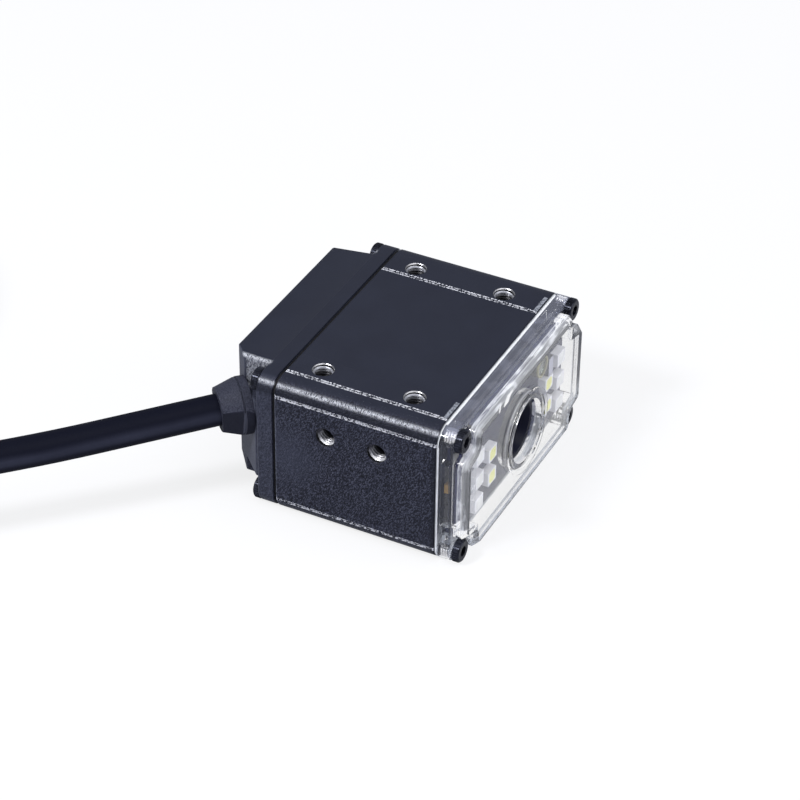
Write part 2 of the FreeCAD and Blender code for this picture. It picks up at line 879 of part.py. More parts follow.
def make_strain_relief():
    """Boot moulded on the cable: collar, groove and a cone with two flats."""
    ring_end = relief_ring_length
    groove_end = ring_end + relief_groove
    inner = -(rear_wall + relief_neck_extra)
    profile = [(0, inner), (relief_neck_radius, inner), (relief_neck_radius, 0),
               (relief_ring_radius, 0), (relief_ring_radius, ring_end),
               (relief_ring_radius - relief_groove, ring_end),
               (relief_ring_radius - relief_groove, groove_end),
               (relief_base_radius, groove_end), (relief_tip_radius, relief_length),
               (relief_tip_radius, relief_length + relief_end_extra),
               (0, relief_length + relief_end_extra)]
    boot = turned(profile, relief_seat, relief_axis(), (0, 0, 1))
    heading = cable_route()[1] - cable_route()[0]
    boot = boot.cut(Part.makeCylinder(2 * relief_base_radius, relief_length,
                                      vector(*relief_exit), heading))
    seat = vector(*relief_seat)
    along = vector(*relief_axis())
    for side in (-1, 1):
        across = vector(0, 0, 1).cross(along) * side
        tilt = math.radians(relief_flat_tilt)
        out = across * math.cos(tilt) - vector(0, 0, 1) * math.sin(tilt)
        upward = across * math.sin(tilt) + vector(0, 0, 1) * math.cos(tilt)
        near = seat + along * groove_end + out * (relief_flat + relief_flat_taper)
        far = seat + along * relief_length + out * relief_flat
        beyond = out * relief_base_radius
        corners = [near, far, far + along, far + along + beyond, near + beyond]
        low = upward * -relief_base_radius
        wedge = Part.Face(Part.makePolygon([c + low for c in corners + corners[:1]]))
        boot = boot.cut(wedge.extrude(upward * 2 * relief_base_radius))
    return boot


def smooth_path(points):
    """Straight runs joined by tangent arcs, each as large as its shorter run allows."""
    edges = []
    radii = []
    position = points[0]
    for index in range(1, len(points) - 1):
        corner = points[index]
        back = points[index - 1] - corner
        ahead = points[index + 1] - corner
        shorter = min(back.Length, ahead.Length)
        turn = math.pi - back.getAngle(ahead)
        reach = 0.45 * shorter
        radius = reach / math.tan(turn / 2)
        radii.append(radius)
        back.normalize()
        ahead.normalize()
        start = corner + back * reach
        end = corner + ahead * reach
        bisector = (back + ahead).normalize()
        middle = corner + bisector * (radius / math.cos(turn / 2) - radius)
        edges.append(Part.LineSegment(position, start).toShape())
        edges.append(Part.Arc(start, middle, end).toShape())
        position = end
    edges.append(Part.LineSegment(position, points[-1]).toShape())
    return Part.Wire(edges), radii


def tube_along(points, radius):
    path, radii = smooth_path(points)
    start = path.Edges[0].Vertexes[0].Point
    heading = (points[1] - points[0]).normalize()
    section = Part.Wire(Part.makeCircle(radius, start, heading))
    tube = path.makePipeShell([section], True, False)
    return tube, path.Length, radii


def cable_route():
    """Points from the boot, sagging a little, up onto the top turn of the coil."""
    points = [vector(*relief_exit)]
    for run in cable_runs:
        points.append(points[-1] + vector(*run))
    across, along = cable_to_coil
    points.append(vector(points[-1].x + across, points[-1].y + along, coil_top))
    points.append(points[-1] + vector(0, cable_last_run, 0))
    return points


def make_data_cable():
    points = cable_route()
    tube, length, radii = tube_along(points, cable_radius)
    expected = math.pi * cable_radius ** 2 * length
    print("cable length", round(length, 1), "volume ratio", round(tube.Volume / expected, 4))
    print("cable bend radii", [round(radius, 1) for radius in radii])
    return tube


def make_lead_wires():
    """Row of thin leads from the inner end of the strain relief to the lead plug."""
    along = vector(*relief_axis())
    neck_end = vector(*relief_seat) - along * (rear_wall + relief_neck_extra)
    x, z = header_centre()
    plug_rear = decoder_rear + header_wall + lead_plug_length
    wires = []
    for index in range(4):
        spread = (index - 1.5) * lead_wire_pitch
        start = neck_end + vector(0, 0, spread - lead_wire_drop)
        goal = vector(x + 2 * spread, plug_rear, z)
        points = [start, start - along * lead_wire_run, goal + vector(0, lead_wire_run, 0), goal]
        wires.append(tube_along(points, lead_wire_radius)[0])
    return Part.makeCompound(wires)


def coil_centre():
    """Middle of the coil: the cable's last run is a tangent of its outer turn."""
    end = cable_route()[-1]
    return vector(end.x + coil_turn_radius, end.y + coil_entry, 0)


def tail_points():
    """Loose end of the cable, from the lowest turn up to the axis of the plug."""
    start = coil_centre() + vector(0, coil_turn_radius, cable_radius)
    rise = plug_radius - cable_radius
    steps = [(0, 0), (coil_exit_run, 0), (2 * coil_exit_run, rise), (3 * coil_exit_run, rise)]
    return [start + vector(along, 0, up) for along, up in steps]


def make_cable_coil():
    """Outer shape of the coiled length, with the stretches that enter and leave it."""
    base = coil_centre()
    across = coil_pitch * coil_turns_across + cable_radius
    outer = coil_turn_radius + cable_radius
    height = coil_top + cable_radius
    turn = Part.makeCylinder(outer, height, base).cut(
        Part.makeCylinder(coil_turn_radius - across, height, base))
    rims = [edge for edge in turn.Edges if edge.BoundBox.ZLength < 1e-6]
    turn = turn.makeFillet(coil_edge, rims)
    entry = Part.makeCylinder(cable_radius, coil_entry, cable_route()[-1], vector(0, 1, 0))
    tail = tube_along(tail_points(), cable_radius)[0]
    return turn.fuse(entry).fuse(tail).removeSplitter()


def plug_start():
    return tail_points()[-1]


def make_plug_grip():
    """Ribbed overmoulded grip between the cable and the coupling nut."""
    start = plug_start()
    profile = [(0, 0), (plug_grip_tip_radius, 0),
               (plug_grip_radius, plug_grip_length * 0.4)]
    step = plug_grip_length * 0.6 / (2 * plug_rib_count + 1)
    for rib in range(plug_rib_count):
        start_rib = plug_grip_length * 0.4 + (2 * rib + 1) * step
        profile += [(plug_grip_radius, start_rib), (plug_grip_radius - plug_rib_depth, start_rib),
                    (plug_grip_radius - plug_rib_depth, start_rib + step),
                    (plug_grip_radius, start_rib + step)]
    profile += [(plug_grip_radius, plug_grip_length), (0, plug_grip_length)]
    return turned(profile, tuple(start), (1, 0, 0), (0, 0, 1))


def make_plug_nut():
    """Knurled coupling nut with its threaded sleeve."""
    start = plug_start()
    front = start.x + plug_grip_length
    nut = Part.makeCylinder(plug_radius, plug_nut_length, vector(front, start.y, start.z),
                            vector(1, 0, 0))
    nut = nut.makeChamfer(0.5, [edge for edge in nut.Edges if edge.BoundBox.XLength < 1e-6])
    for index in range(plug_knurl_count):
        angle = 2 * math.pi * (index + 0.5) / plug_knurl_count
        spot = vector(front, start.y + plug_radius * math.cos(angle),
                      start.z + plug_radius * math.sin(angle))
        nut = nut.cut(Part.makeCylinder(plug_knurl_radius, plug_nut_length, spot,
                                        vector(1, 0, 0)))
    sleeve = Part.makeCylinder(plug_thread_radius, plug_thread_length,
                               vector(front + plug_nut_length, start.y, start.z),
                               vector(1, 0, 0))
    bore = Part.makeCylinder(plug_bore_radius, plug_nut_length + plug_thread_length,
                             vector(front, start.y, start.z), vector(1, 0, 0))
    return nut.fuse(sleeve).removeSplitter().cut(bore)


def make_plug_insert():
    """Contact carrier inside the coupling nut."""
    start = plug_start()
    front = start.x + plug_grip_length
    length = plug_nut_length + plug_thread_length - plug_insert_recess
    body = Part.makeCylinder(plug_bore_radius - plug_running_gap, plug_nut_length / 2,
                             vector(front, start.y, start.z), vector(1, 0, 0))
    nose = Part.makeCylinder(plug_insert_radius, length, vector(front, start.y, start.z),
                             vector(1, 0, 0))
    return body.fuse(nose).removeSplitter()


def make_plug_pins():
    start = plug_start()
    face = start.x + plug_grip_length + plug_nut_length + plug_thread_length - plug_insert_recess
    spots = [(0, 0)]
    for index in range(plug_pin_count):
        angle = 2 * math.pi * index / plug_pin_count
        spots.append((plug_pin_circle * math.cos(angle), plug_pin_circle * math.sin(angle)))
    pins = [Part.makeCylinder(plug_pin_radius, plug_pin_length,
                              vector(face, start.y + u, start.z + v), vector(1, 0, 0))
            for u, v in spots]
    return Part.makeCompound(pins)


def make_nodes():
    return {
        "housing": make_housing(),
        "front_gasket": make_front_gasket(),
        "front_cover": make_front_cover(),
        "front_screws": make_cover_screws(flange_front, -1,
                                          cover_flange + front_gasket_thickness + screw_grip),
        "rear_gasket": make_rear_gasket(),
        "rear_cover": make_rear_cover(),
        "rear_screws": make_cover_screws(flange_rear, 1,
                                         rear_flange + rear_gasket_thickness + screw_grip),
        "light_board": make_light_board(),
        "white_leds": make_led_bodies(white_led_places()),
        "white_led_faces": make_led_faces(white_led_places()),
        "side_leds": make_led_bodies(side_led_places()),
        "side_led_faces": make_led_faces(side_led_places()),
        "driver_chip": make_driver_chip(),
        "board_capacitors": make_board_capacitors(),
        "optics_carrier": make_optics_carrier(),
        "lens_barrel": make_lens_barrel(),
        "lens_front_element": make_lens_front_element(),
        "lens_lock_ring": make_lens_lock_ring(),
        "lens_rear_element": make_lens_rear_element(),
        "aimer_tube": make_aimer_tube(),
        "aimer_lens": make_aimer_lens(),
        "aimer_diode": make_aimer_diode(),
        "sensor_board": make_sensor_board(),
        "image_sensor": make_image_sensor(),
        "sensor_glass": make_sensor_glass(),
        "board_spacers": make_board_spacers(),
        "spacer_screws": make_spacer_screws(),
        "decoder_board": make_decoder_board(),
        "processor": chip_on_decoder(processor_size, processor_place),
        "memory_chip": chip_on_decoder(memory_size, memory_place),
        "link_connector": make_link_connector(),
        "cable_header": make_cable_header(),
        "lead_plug": make_lead_plug(),
        "lead_wires": make_lead_wires(),
        "strain_relief": make_strain_relief(),
        "data_cable": make_data_cable(),
        "cable_coil": make_cable_coil(),
        "plug_grip": make_plug_grip(),
        "plug_nut": make_plug_nut(),
        "plug_insert": make_plug_insert(),
        "plug_pins": make_plug_pins(),
    }


os.makedirs("parts", exist_ok=True)
for name, shape in make_nodes().items():
    shape.exportStep(f"parts/{name}.step")
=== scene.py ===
import math

import bmesh
import bpy
from mathutils import Matrix, Vector


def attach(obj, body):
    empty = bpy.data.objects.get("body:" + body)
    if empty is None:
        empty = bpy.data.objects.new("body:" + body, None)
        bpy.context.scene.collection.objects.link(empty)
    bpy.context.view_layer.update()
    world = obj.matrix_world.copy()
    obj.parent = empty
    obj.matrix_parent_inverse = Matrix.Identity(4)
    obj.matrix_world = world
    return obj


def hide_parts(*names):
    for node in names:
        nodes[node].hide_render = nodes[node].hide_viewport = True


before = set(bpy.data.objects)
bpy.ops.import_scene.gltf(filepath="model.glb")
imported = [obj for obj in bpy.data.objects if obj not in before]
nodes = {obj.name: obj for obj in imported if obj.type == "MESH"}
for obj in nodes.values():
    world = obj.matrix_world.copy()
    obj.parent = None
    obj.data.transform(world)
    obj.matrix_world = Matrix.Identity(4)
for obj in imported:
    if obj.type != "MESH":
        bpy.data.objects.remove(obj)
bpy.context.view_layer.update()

MM = 0.001
UP = Vector((0, 0, 1))

# Added to a distance, so that a mark leaves the faces that it isn't on
FAR = 1.0

# Points in one turn of a thread or of the coil
POINTS_PER_TURN = 24

# Camera, as the photograph was taken
CAMERA_PLACE = Vector((-305.03, -150.53, 257.04)) * MM
CAMERA_TILT = math.radians(35.937)
CAMERA_ROLL = math.radians(0.739)
CAMERA_HEADING = math.radians(63.587)
CAMERA_LENS = 127.355

# Cord, laid as the CAD source lays it
CABLE_DIAMETER = 4.8 * MM
RELIEF_EXIT = Vector((-20.311, 20.311, 15.0)) * MM
RELIEF_AXIS = Vector((-1, 1, 0)).normalized()
CABLE_BENDS = [Vector(bend) * MM for bend in (
    (-37.111, 37.361, 13.55), (-54.011, 54.411, 13.3), (-61.211, 77.111, 17.1),
    (-61.211, 92.111, 17.1), (-61.211, 111.111, 17.1))]
COIL_MIDDLE = Vector((-26.211, 111.111, 17.1)) * MM
COIL_RADII = [(0, 35), (2, 25), (3.75, 35), (4, 35), (6, 25), (7.25, 35)]
COIL_DROPS = (1.75, 3.75, 5.75)
COIL_DROP = 4.9 * MM
COIL_DROP_TURNS = 0.25
CABLE_DROOP = 0.0605
CABLE_LOW = 13.4 * MM
CABLE_TAIL = [Vector(step) * MM for step in ((8, 0, 0), (16, 0, 2.5), (24, 0, 2.5))]

# Flat on the boot, and the collar behind its cone
FLAT_FACING = Vector((-0.692, -0.692, -0.208))
FLAT_REACH = 2.75 * MM
FLAT_TAPER = 0.25
COLLAR_END = 3.05 * MM

# Mounting holes
HOLE_RADIUS = 1.5 * MM
THREAD_RADIUS = 1.49 * MM
THREAD_DEPTH = 0.24 * MM
THREAD_PITCH = 0.5 * MM
THREAD_LENGTH = 3.0 * MM
TOP_HOLES = Vector((14.8, -1.4, 23.4)) * MM
TOP_HOLE_SPREAD = 7.3 * MM
TOP_HOLES_END = 18.8 * MM
SIDE_HOLES = Vector((20.75, -1.5, 16.2)) * MM
SIDE_HOLE_SPREAD = 4.1 * MM
SIDE_HOLES_END = 16.5 * MM

# Cover screws
SCREW_X = 18.5 * MM
SCREW_HEIGHTS = (1.9 * MM, 21.3 * MM)
FRONT_SEAT = -17.5 * MM
REAR_SEAT = 13.8 * MM
HEAD_RADIUS = 1.7 * MM
HEAD_HEIGHT = 1.15 * MM
SHANK_RADIUS = 1.0 * MM
SCREW_PITCH = 0.4 * MM
SCREW_THREAD_DEPTH = 0.13 * MM
SCREW_THREAD_LENGTH = 2.2 * MM
KNURL_COUNT = 28
KNURL_RADIUS = 0.1 * MM
KNURL_SIDES = 6

# Housing
BODY_TOP = 23.2 * MM
BODY_FRONT = -15.1 * MM
BODY_REAR = 10.8 * MM
TOP_FACE = 23.0 * MM
PAD_EDGES = (-17.3 * MM, 12.7 * MM)
PAD_MIDDLE = 15.0 * MM
GROOVES = (2.4 * MM, 20.8 * MM)
CORNER_MIDDLE = (17.95 * MM, 20.4 * MM)
CORNER_RADIUS = 2.8 * MM
FLANK_START = 20.4 * MM
FLANK_TOP = 20.3 * MM
RAMP = (BODY_FRONT + 0.2 * MM, BODY_FRONT + 0.85 * MM)
RAMP_HALF = 2.1 * MM
SHEEN_PATCH_MIDDLE = (9.0 * MM, 11.0 * MM)
SHEEN_PATCH_REACH = (8.0 * MM, 1.5 * MM)
STREAK_WIDTH = 0.85 * MM

# Rear cover; the slope is y less x on its slanted corner
BLOCK_EDGE_MIDDLE = (15.4 * MM, 22.15 * MM)
BLOCK_EDGE = 1.0 * MM
BLOCK_SIDE = 16.4 * MM
WALL_END = 17.9 * MM
LEDGE_TOP = 18.4 * MM
SLOPE = 34.4 * MM

# Colours of the coat; several of them are painted light or painted shade, as marked below
COAT_DARK = (0.0158, 0.0178, 0.0293)
COAT_LIGHT = (0.018, 0.0205, 0.0335)
# Painted light: the sides of the housing and of the rear cover are painted lighter than the top
COAT_SIDE_LIT = (0.0225, 0.0248, 0.042)
# Painted highlight: a lighter patch on each side of the housing
COAT_SHEEN_PATCH = (0.034, 0.0375, 0.06)
COAT_REAR_SIDE_LIT = (0.034, 0.0375, 0.059)
# Painted sheen: the slanted corner face of the rear cover is painted lighter
COAT_SLOPE_SHEEN = (0.066, 0.071, 0.098)
# Painted shade in the pits of the pebbles and painted glints on their peaks
COAT_PIT_SHADE = (0.005, 0.0055, 0.01)
COAT_PEAK_GLINT = (0.068, 0.073, 0.104)
COAT_SHADE = (0.006, 0.007, 0.012)

# Painted highlights on edges, lines and streaks, paler ramps, bare metal at the hole mouths, and
# painted shade inside the holes
REAR_EDGE_HIGHLIGHT = (0.2, 0.215, 0.28)
RAMP_PALE = (0.3, 0.32, 0.37)
LINE_HIGHLIGHT = (0.6, 0.61, 0.67)
STREAK_HIGHLIGHT = (0.62, 0.64, 0.7)
BARE_MOUTH = (0.4, 0.4, 0.42)
HOLE_SHADE = (0.01, 0.01, 0.011)

# Clear cover
PLATE_FRONT = -19.75 * MM
PLATE_EDGE = 0.95 * MM
PLATE_BAND = 1.58 * MM
FLANGE_FRONT = -17.5 * MM
FLANGE_EDGE = 0.3 * MM
CLEAR_REAR = -15.35 * MM
COLLAR_RADIUS = 5.5 * MM
HALF_WIDTH = 20.75 * MM
BOX_TOP = 22.3 * MM
BOX_SIDE = 20.1 * MM

# Parts behind the window
CHIP_LID = -17.9 * MM
AIMER_FRONT = -18.15 * MM

# Light and floor
LIT_MIDDLE = Vector((0, 0, 12)) * MM
FLOOR_REACH = 3.0
FLOOR_GAP = 0.02 * MM
WORLD_LIGHT = 0.4
WORLD_GLOSS = 0.4
FLOOR_GLOSS = 0.4
NEAR_FLOOR = 0.52
NEAR_STRIP = [edge * MM for edge in (-29.0, -25.6, -21.0, -19.0)]
LAMPS = [("key", (-0.587, 0.36, 0.725), 0.6, 0.11, 2.6),
         ("top", (-0.1, -0.35, 0.9), 0.8, 0.7, 3.2),
         ("window side", (0.2, -0.9, 0.35), 0.7, 0.5, 1.4)]


class Signal:
    """A shader socket that varies over a surface and can be added, taken away and multiplied."""

    def __init__(self, finish, socket):
        self.finish = finish
        self.socket = socket

    def math(self, operation, first, second=None):
        values = {0: first} if second is None else {0: first, 1: second}
        return self.finish.node("ShaderNodeMath", {"operation": operation}, values)

    def __add__(self, other):
        return self.math("ADD", self, other)

    def __sub__(self, other):
        return self.math("SUBTRACT", self, other)

    def __rsub__(self, other):
        return self.math("SUBTRACT", other, self)

    def __mul__(self, other):
        return self.math("MULTIPLY", self, other)

    __radd__ = __add__
    __rmul__ = __mul__

    def size(self):
        return self.math("ABSOLUTE", self)

    def most(self, other):
        return self.math("MAXIMUM", self, other)

    def least(self, other):
        return self.math("MINIMUM", self, other)

    def root(self):
        return self.math("SQRT", self)

    def fold(self, length):
        """Back and forth between 0 and a length."""
        return self.math("PINGPONG", self, length)

    def band(self, start, end):
        """Rises from 0 to 1 as the signal goes from start to end, smoothly."""
        settings = {"interpolation_type": "SMOOTHSTEP"}
        values = {"Value": self, "From Min": start, "From Max": end}
        return self.finish.node("ShaderNodeMapRange", settings, values)


class Shading:
    """A node tree whose nodes are made by one method and joined by their inputs."""

    def __init__(self, tree):
        self.tree = tree

    def feed(self, socket, value):
        if isinstance(value, Signal):
            self.tree.links.new(value.socket, socket)
        else:
            socket.default_value = value

    def node(self, kind, settings=None, inputs=None, output=0):
        made = self.tree.nodes.new(kind)
        for name, value in (settings or {}).items():
            setattr(made, name, value)
        for name, value in (inputs or {}).items():
            self.feed(made.inputs[name], value)
        return Signal(self, made.outputs[output]) if made.outputs else None

    def rays(self, kind):
        """1 for light rays of one kind, 0 for all others."""
        return self.node("ShaderNodeLightPath", output=f"Is {kind} Ray")


class Finish(Shading):
    """A named material: constants on the shader's own sockets, varying inputs fed in after."""

    def __init__(self, name, colour, **constants):
        self.material = bpy.data.materials.new(name)
        self.material.use_nodes = True
        super().__init__(self.material.node_tree)
        self.shader = self.tree.nodes["Principled BSDF"]
        self.set("Base Color", (*colour, 1.0))
        for socket, value in constants.items():
            self.set(socket.replace("_", " "), value)

    def set(self, socket, value):
        self.feed(self.shader.inputs[socket], value)

    def place(self, stretch=(1, 1, 1), lean=0.0):
        """Object coordinates, scaled, or with their grain drawn out along a leaning axis."""
        spot = self.node("ShaderNodeTexCoord", output="Object")
        if lean:
            return self.node("ShaderNodeMapping", {"vector_type": "TEXTURE"},
                             {"Vector": spot, "Rotation": (lean, 0, 0), "Scale": stretch})
        if stretch == (1, 1, 1):
            return spot
        return self.node("ShaderNodeMapping", {}, {"Vector": spot, "Scale": stretch})

    def parts(self, vector):
        """The three signals of a vector."""
        return [self.node("ShaderNodeSeparateXYZ", {}, {0: vector}, output=axis)
                for axis in ("X", "Y", "Z")]

    def axes(self):
        """Where the shaded spot is, along X, Y and Z."""
        return self.parts(self.place())

    def facing(self):
        """The way each face points, as merged_copy writes it on the piece."""
        return self.parts(self.node("ShaderNodeAttribute", {"attribute_name": "facing"},
                                    output="Vector"))

    def noise(self, grain, detail=2.0, rough=0.5, stretch=(1, 1, 1), lean=0.0):
        """Soft noise whose spots are about one grain across."""
        values = {"Vector": self.place(stretch, lean), "Scale": 1 / grain, "Detail": detail,
                  "Roughness": rough}
        return self.node("ShaderNodeTexNoise", {}, values, output="Fac")

    def mix(self, factor, first, second):
        """From the first colour at 0 to the second one at 1."""
        settings = {"data_type": "RGBA"}
        first = first if isinstance(first, Signal) else (*first, 1.0)
        second = second if isinstance(second, Signal) else (*second, 1.0)
        return self.node("ShaderNodeMix", settings, {0: factor, 6: first, 7: second}, output=2)

    def layered(self, base, *layers):
        """Colours laid over a base one after the other, each with its own share."""
        for share, colour in layers:
            base = self.mix(share, base, colour)
        return base

    def matt(self, colour):
        """Plain matt shader, to be blended in."""
        return self.node("ShaderNodeBsdfDiffuse", {}, {"Color": (*colour, 1.0), "Roughness": 0.4})

    def blend(self, other, share):
        """Mix a share of another shader into what the surface shows so far."""
        surface = self.tree.nodes["Material Output"].inputs["Surface"]
        shown = surface.links[0].from_socket
        mixed = self.node("ShaderNodeMixShader", {}, {0: share, 1: Signal(self, shown), 2: other})
        self.tree.links.new(mixed.socket, surface)

    def bump(self, height, distance, strength=1.0):
        """Relief in the finish: a height signal of 1 stands up by the distance."""
        values = {"Height": height, "Distance": distance, "Strength": strength}
        self.set("Normal", self.node("ShaderNodeBump", {}, values))

    def lightly_worn(self, colour, spread, grain=3 * MM):
        """Uneven colour and gloss, as handled parts have."""
        cloud = self.noise(grain, 3.0).band(0.3, 0.7)
        lighter = tuple(min(1.0, value * (1 + spread)) for value in colour)
        darker = tuple(value * (1 - spread) for value in colour)
        self.set("Base Color", self.mix(cloud, darker, lighter))
        return cloud


def span(across, up):
    """Distance over two lengths at right angles."""
    return (across * across + up * up).root()


def distance_along(place, origin, direction):
    """How far a place is from an origin, measured along a direction."""
    x, y, z = place
    return ((x - origin.x) * direction.x + (y - origin.y) * direction.y
            + (z - origin.z) * direction.z)


def hole_distances(finish):
    """Distance from the nearest mounting hole axis, and depth under its mouth."""
    x, y, z = finish.axes()
    top = span(x.size() - TOP_HOLES.x, (y - TOP_HOLES.y).size() - TOP_HOLE_SPREAD)
    side = span((y - SIDE_HOLES.y).size() - SIDE_HOLE_SPREAD, z - SIDE_HOLES.z)
    below_top = z.band(TOP_HOLES_END + 0.1 * MM, TOP_HOLES_END)
    inside = x.size().band(SIDE_HOLES_END + 0.1 * MM, SIDE_HOLES_END)
    depth = (TOP_HOLES.z - z).least(SIDE_HOLES.x - x.size())
    return (top + FAR * below_top).least(side + FAR * inside), depth


def twin_lines(across, middles, spread, width):
    """Two thin parallel lines either side of each of two places."""
    first, second = [((across - middle).size() - spread).size().band(width, width * 0.4)
                     for middle in middles]
    return first.most(second)


def corner_highlight(x, z, middle, radius, wide, combed):
    """Painted highlight: a ragged bright streak along the upper rounded edges of an extruded
    outline.
    """
    across = x.size() - middle[0]
    up = z - middle[1]
    slant = (across - up).size() + 4.0 * wide * (combed - 0.5)
    outside = across.band(0.3 * radius, 0.4 * radius) * up.band(0.3 * radius, 0.4 * radius)
    return slant.band(wide, 0.3 * wide) * outside


def pebbled_colour(coat, place, cloud, sides, pebbles, with_marks):
    """Colour of the coat and of its pebbles, away from edges and holes: sides painted lighter, a
    painted highlight patch on each side of the housing, and painted shade and glints on the
    pebbles.
    """
    _, y, z = place
    tone = coat.mix(cloud, COAT_DARK, COAT_LIGHT)
    if with_marks:
        # Painted highlight patch, where the pebbles' painted shading is also weaker
        sheen_patch = span(y - SHEEN_PATCH_MIDDLE[0], z - SHEEN_PATCH_MIDDLE[1]).band(*SHEEN_PATCH_REACH) * sides
        tone = coat.layered(tone, (sides, COAT_SIDE_LIT), (0.8 * sheen_patch, COAT_SHEEN_PATCH))
        strength = 1 - 0.55 * sheen_patch
    else:
        tone = coat.mix(sides, tone, COAT_REAR_SIDE_LIT)
        strength = 0.6 * sides
    return coat.layered(tone, (0.9 * strength * sides * pebbles.band(0.56, 0.4), COAT_PIT_SHADE),
                        (0.75 * strength * sides * pebbles.band(0.52, 0.7), COAT_PEAK_GLINT))


def rear_highlights(place, combed):
    """Painted highlights on edges of the rear cover: its ears, its block, and wall and ledge by
    each screw.
    """
    x, y, z = place
    side = x.size()
    ears = (corner_highlight(x, z, CORNER_MIDDLE, CORNER_RADIUS, STREAK_WIDTH, combed)
            * y.band(REAR_SEAT + 0.1 * MM, REAR_SEAT))
    block = (corner_highlight(x, z, BLOCK_EDGE_MIDDLE, BLOCK_EDGE, STREAK_WIDTH, combed)
             * y.band(REAR_SEAT - 0.6 * MM, REAR_SEAT - 0.1 * MM))
    wall = (side.band(BLOCK_SIDE - 0.15 * MM, BLOCK_SIDE - 0.05 * MM)
            * side.band(BLOCK_SIDE + 0.1 * MM, BLOCK_SIDE + 0.05 * MM)
            * z.band(LEDGE_TOP + 0.1 * MM, LEDGE_TOP + 0.6 * MM)
            * y.band(WALL_END, WALL_END - 0.6 * MM))
    ledge = ((z - LEDGE_TOP).size().band(0.3 * MM, 0.15 * MM)
             * side.band(BLOCK_SIDE, BLOCK_SIDE + 0.1 * MM)
             * side.band(BLOCK_SIDE + 1.3 * MM, BLOCK_SIDE + 0.5 * MM))
    behind = y.band(REAR_SEAT, REAR_SEAT + 0.2 * MM)
    return ears.most(block).most(behind * (0.5 * wall).most(0.6 * ledge))


def housing_marks(coat, place, base):
    """Painted shade on the front edge, painted highlights on the rear edge and along pad edges and
    grooves, paler ramps, and painted shade inside the holes, laid over the housing's colour, and
    its bare hole mouths.
    """
    x, y, z = place
    side = x.size()
    speckle = coat.noise(0.3 * MM, rough=0.6).band(0.44, 0.54)
    flank = side.band(FLANK_START - 0.2 * MM, FLANK_START) * z.band(FLANK_TOP + 0.3 * MM, FLANK_TOP)
    # Painted shade along the front end of the sides, painted highlight along their rear end
    front_edge = flank * y.band(BODY_FRONT + 0.95 * MM, BODY_FRONT + 0.5 * MM)
    rear_edge = flank * y.band(BODY_REAR - 0.3 * MM, BODY_REAR - 0.22 * MM)
    # Painted highlights along the pad edges and the grooves
    pads = twin_lines(x + FAR * z.band(TOP_FACE + 0.1 * MM, TOP_FACE), PAD_EDGES,
                      0.11 * MM, 0.15 * MM)
    grooves = twin_lines(z + FAR * side.band(FLANK_START, FLANK_START - 0.1 * MM), GROOVES,
                         0.13 * MM, 0.16 * MM)
    ramp_start, ramp_end = RAMP
    ramp = (y.band(ramp_end, ramp_end - 0.1 * MM) * y.band(ramp_start, ramp_start + 0.1 * MM)
            * (side - PAD_MIDDLE).size().band(RAMP_HALF, RAMP_HALF - 0.15 * MM)
            * z.band(TOP_FACE, TOP_FACE + 0.05 * MM))
    reach, depth = hole_distances(coat)
    mouth = (reach.band(HOLE_RADIUS + 0.16 * MM, HOLE_RADIUS + 0.1 * MM)
             * depth.band(0.26 * MM, 0.2 * MM) * z.band(TOP_FACE, TOP_FACE + 0.1 * MM))
    # Painted shade just inside each hole, under its mouth
    hole_shade = (reach.band(HOLE_RADIUS + 0.1 * MM, HOLE_RADIUS + 0.02 * MM)
              * depth.band(0.2 * MM, 0.26 * MM))
    base = coat.layered(base, (0.6 * front_edge, COAT_SHADE),
                        (rear_edge * (0.15 + 0.5 * speckle), REAR_EDGE_HIGHLIGHT),
                        (ramp * (0.35 + 0.5 * speckle), RAMP_PALE),
                        (pads.most(grooves) * speckle, LINE_HIGHLIGHT),
                        (mouth, BARE_MOUTH), (hole_shade, HOLE_SHADE))
    return base, mouth


def make_coat(name, with_marks):
    """Fine powder coat: pebbled on the sides, smoother on top, with painted highlights on sharp
    edges and painted light and shade on its faces.
    """
    coat = Finish(name, COAT_DARK, Roughness=0.34, Specular_IOR_Level=0.14)
    place = x, y, z = coat.axes()
    sides = z.band(TOP_FACE + 0.1 * MM, TOP_FACE - 0.25 * MM)
    cloud = coat.noise(6 * MM, 3.0).band(0.25, 0.75)
    pebbles = coat.noise(0.135 * MM, 1.5, stretch=(1.0, 1.0, 2.6), lean=0.5)
    fine = coat.noise(0.1 * MM)
    combed = coat.noise(0.13 * MM, 3.0, rough=0.7, stretch=(0.3, 1.0, 0.35))
    base = pebbled_colour(coat, place, cloud, sides, pebbles, with_marks)
    if with_marks:
        streak = corner_highlight(x, z, CORNER_MIDDLE, CORNER_RADIUS, STREAK_WIDTH, combed)
    else:
        streak = rear_highlights(place, combed)
        # Painted sheen on the slanted corner face
        slope = (y - x).band(SLOPE - 0.2 * MM, SLOPE - 0.08 * MM)
        base = coat.mix(slope * (0.5 + 0.4 * fine), base, COAT_SLOPE_SHEEN)
    # Painted shade on the corner below the painted highlight streak
    fall = x.size() - z - (CORNER_MIDDLE[0] - CORNER_MIDDLE[1])
    under = (fall.band(0.6 * MM, 1.1 * MM) * fall.band(2.5 * MM, 2.0 * MM)
             * z.band(CORNER_MIDDLE[1], CORNER_MIDDLE[1] + 0.2 * MM))
    base = coat.layered(base, (0.6 * under, COAT_SHADE),
                        (streak * combed.band(0.42, 0.58), STREAK_HIGHLIGHT))
    rough = 0.32 + 0.08 * cloud + 0.1 * fine
    if with_marks:
        base, mouth = housing_marks(coat, place, base)
        rough = rough * (1 - mouth) + 0.28 * mouth
        coat.set("Metallic", mouth)
    coat.set("Base Color", base)
    coat.set("Roughness", rough)
    coat.bump(pebbles * (0.15 + 0.85 * sides) + 0.25 * fine, 0.09 * MM, 0.9)
    return coat


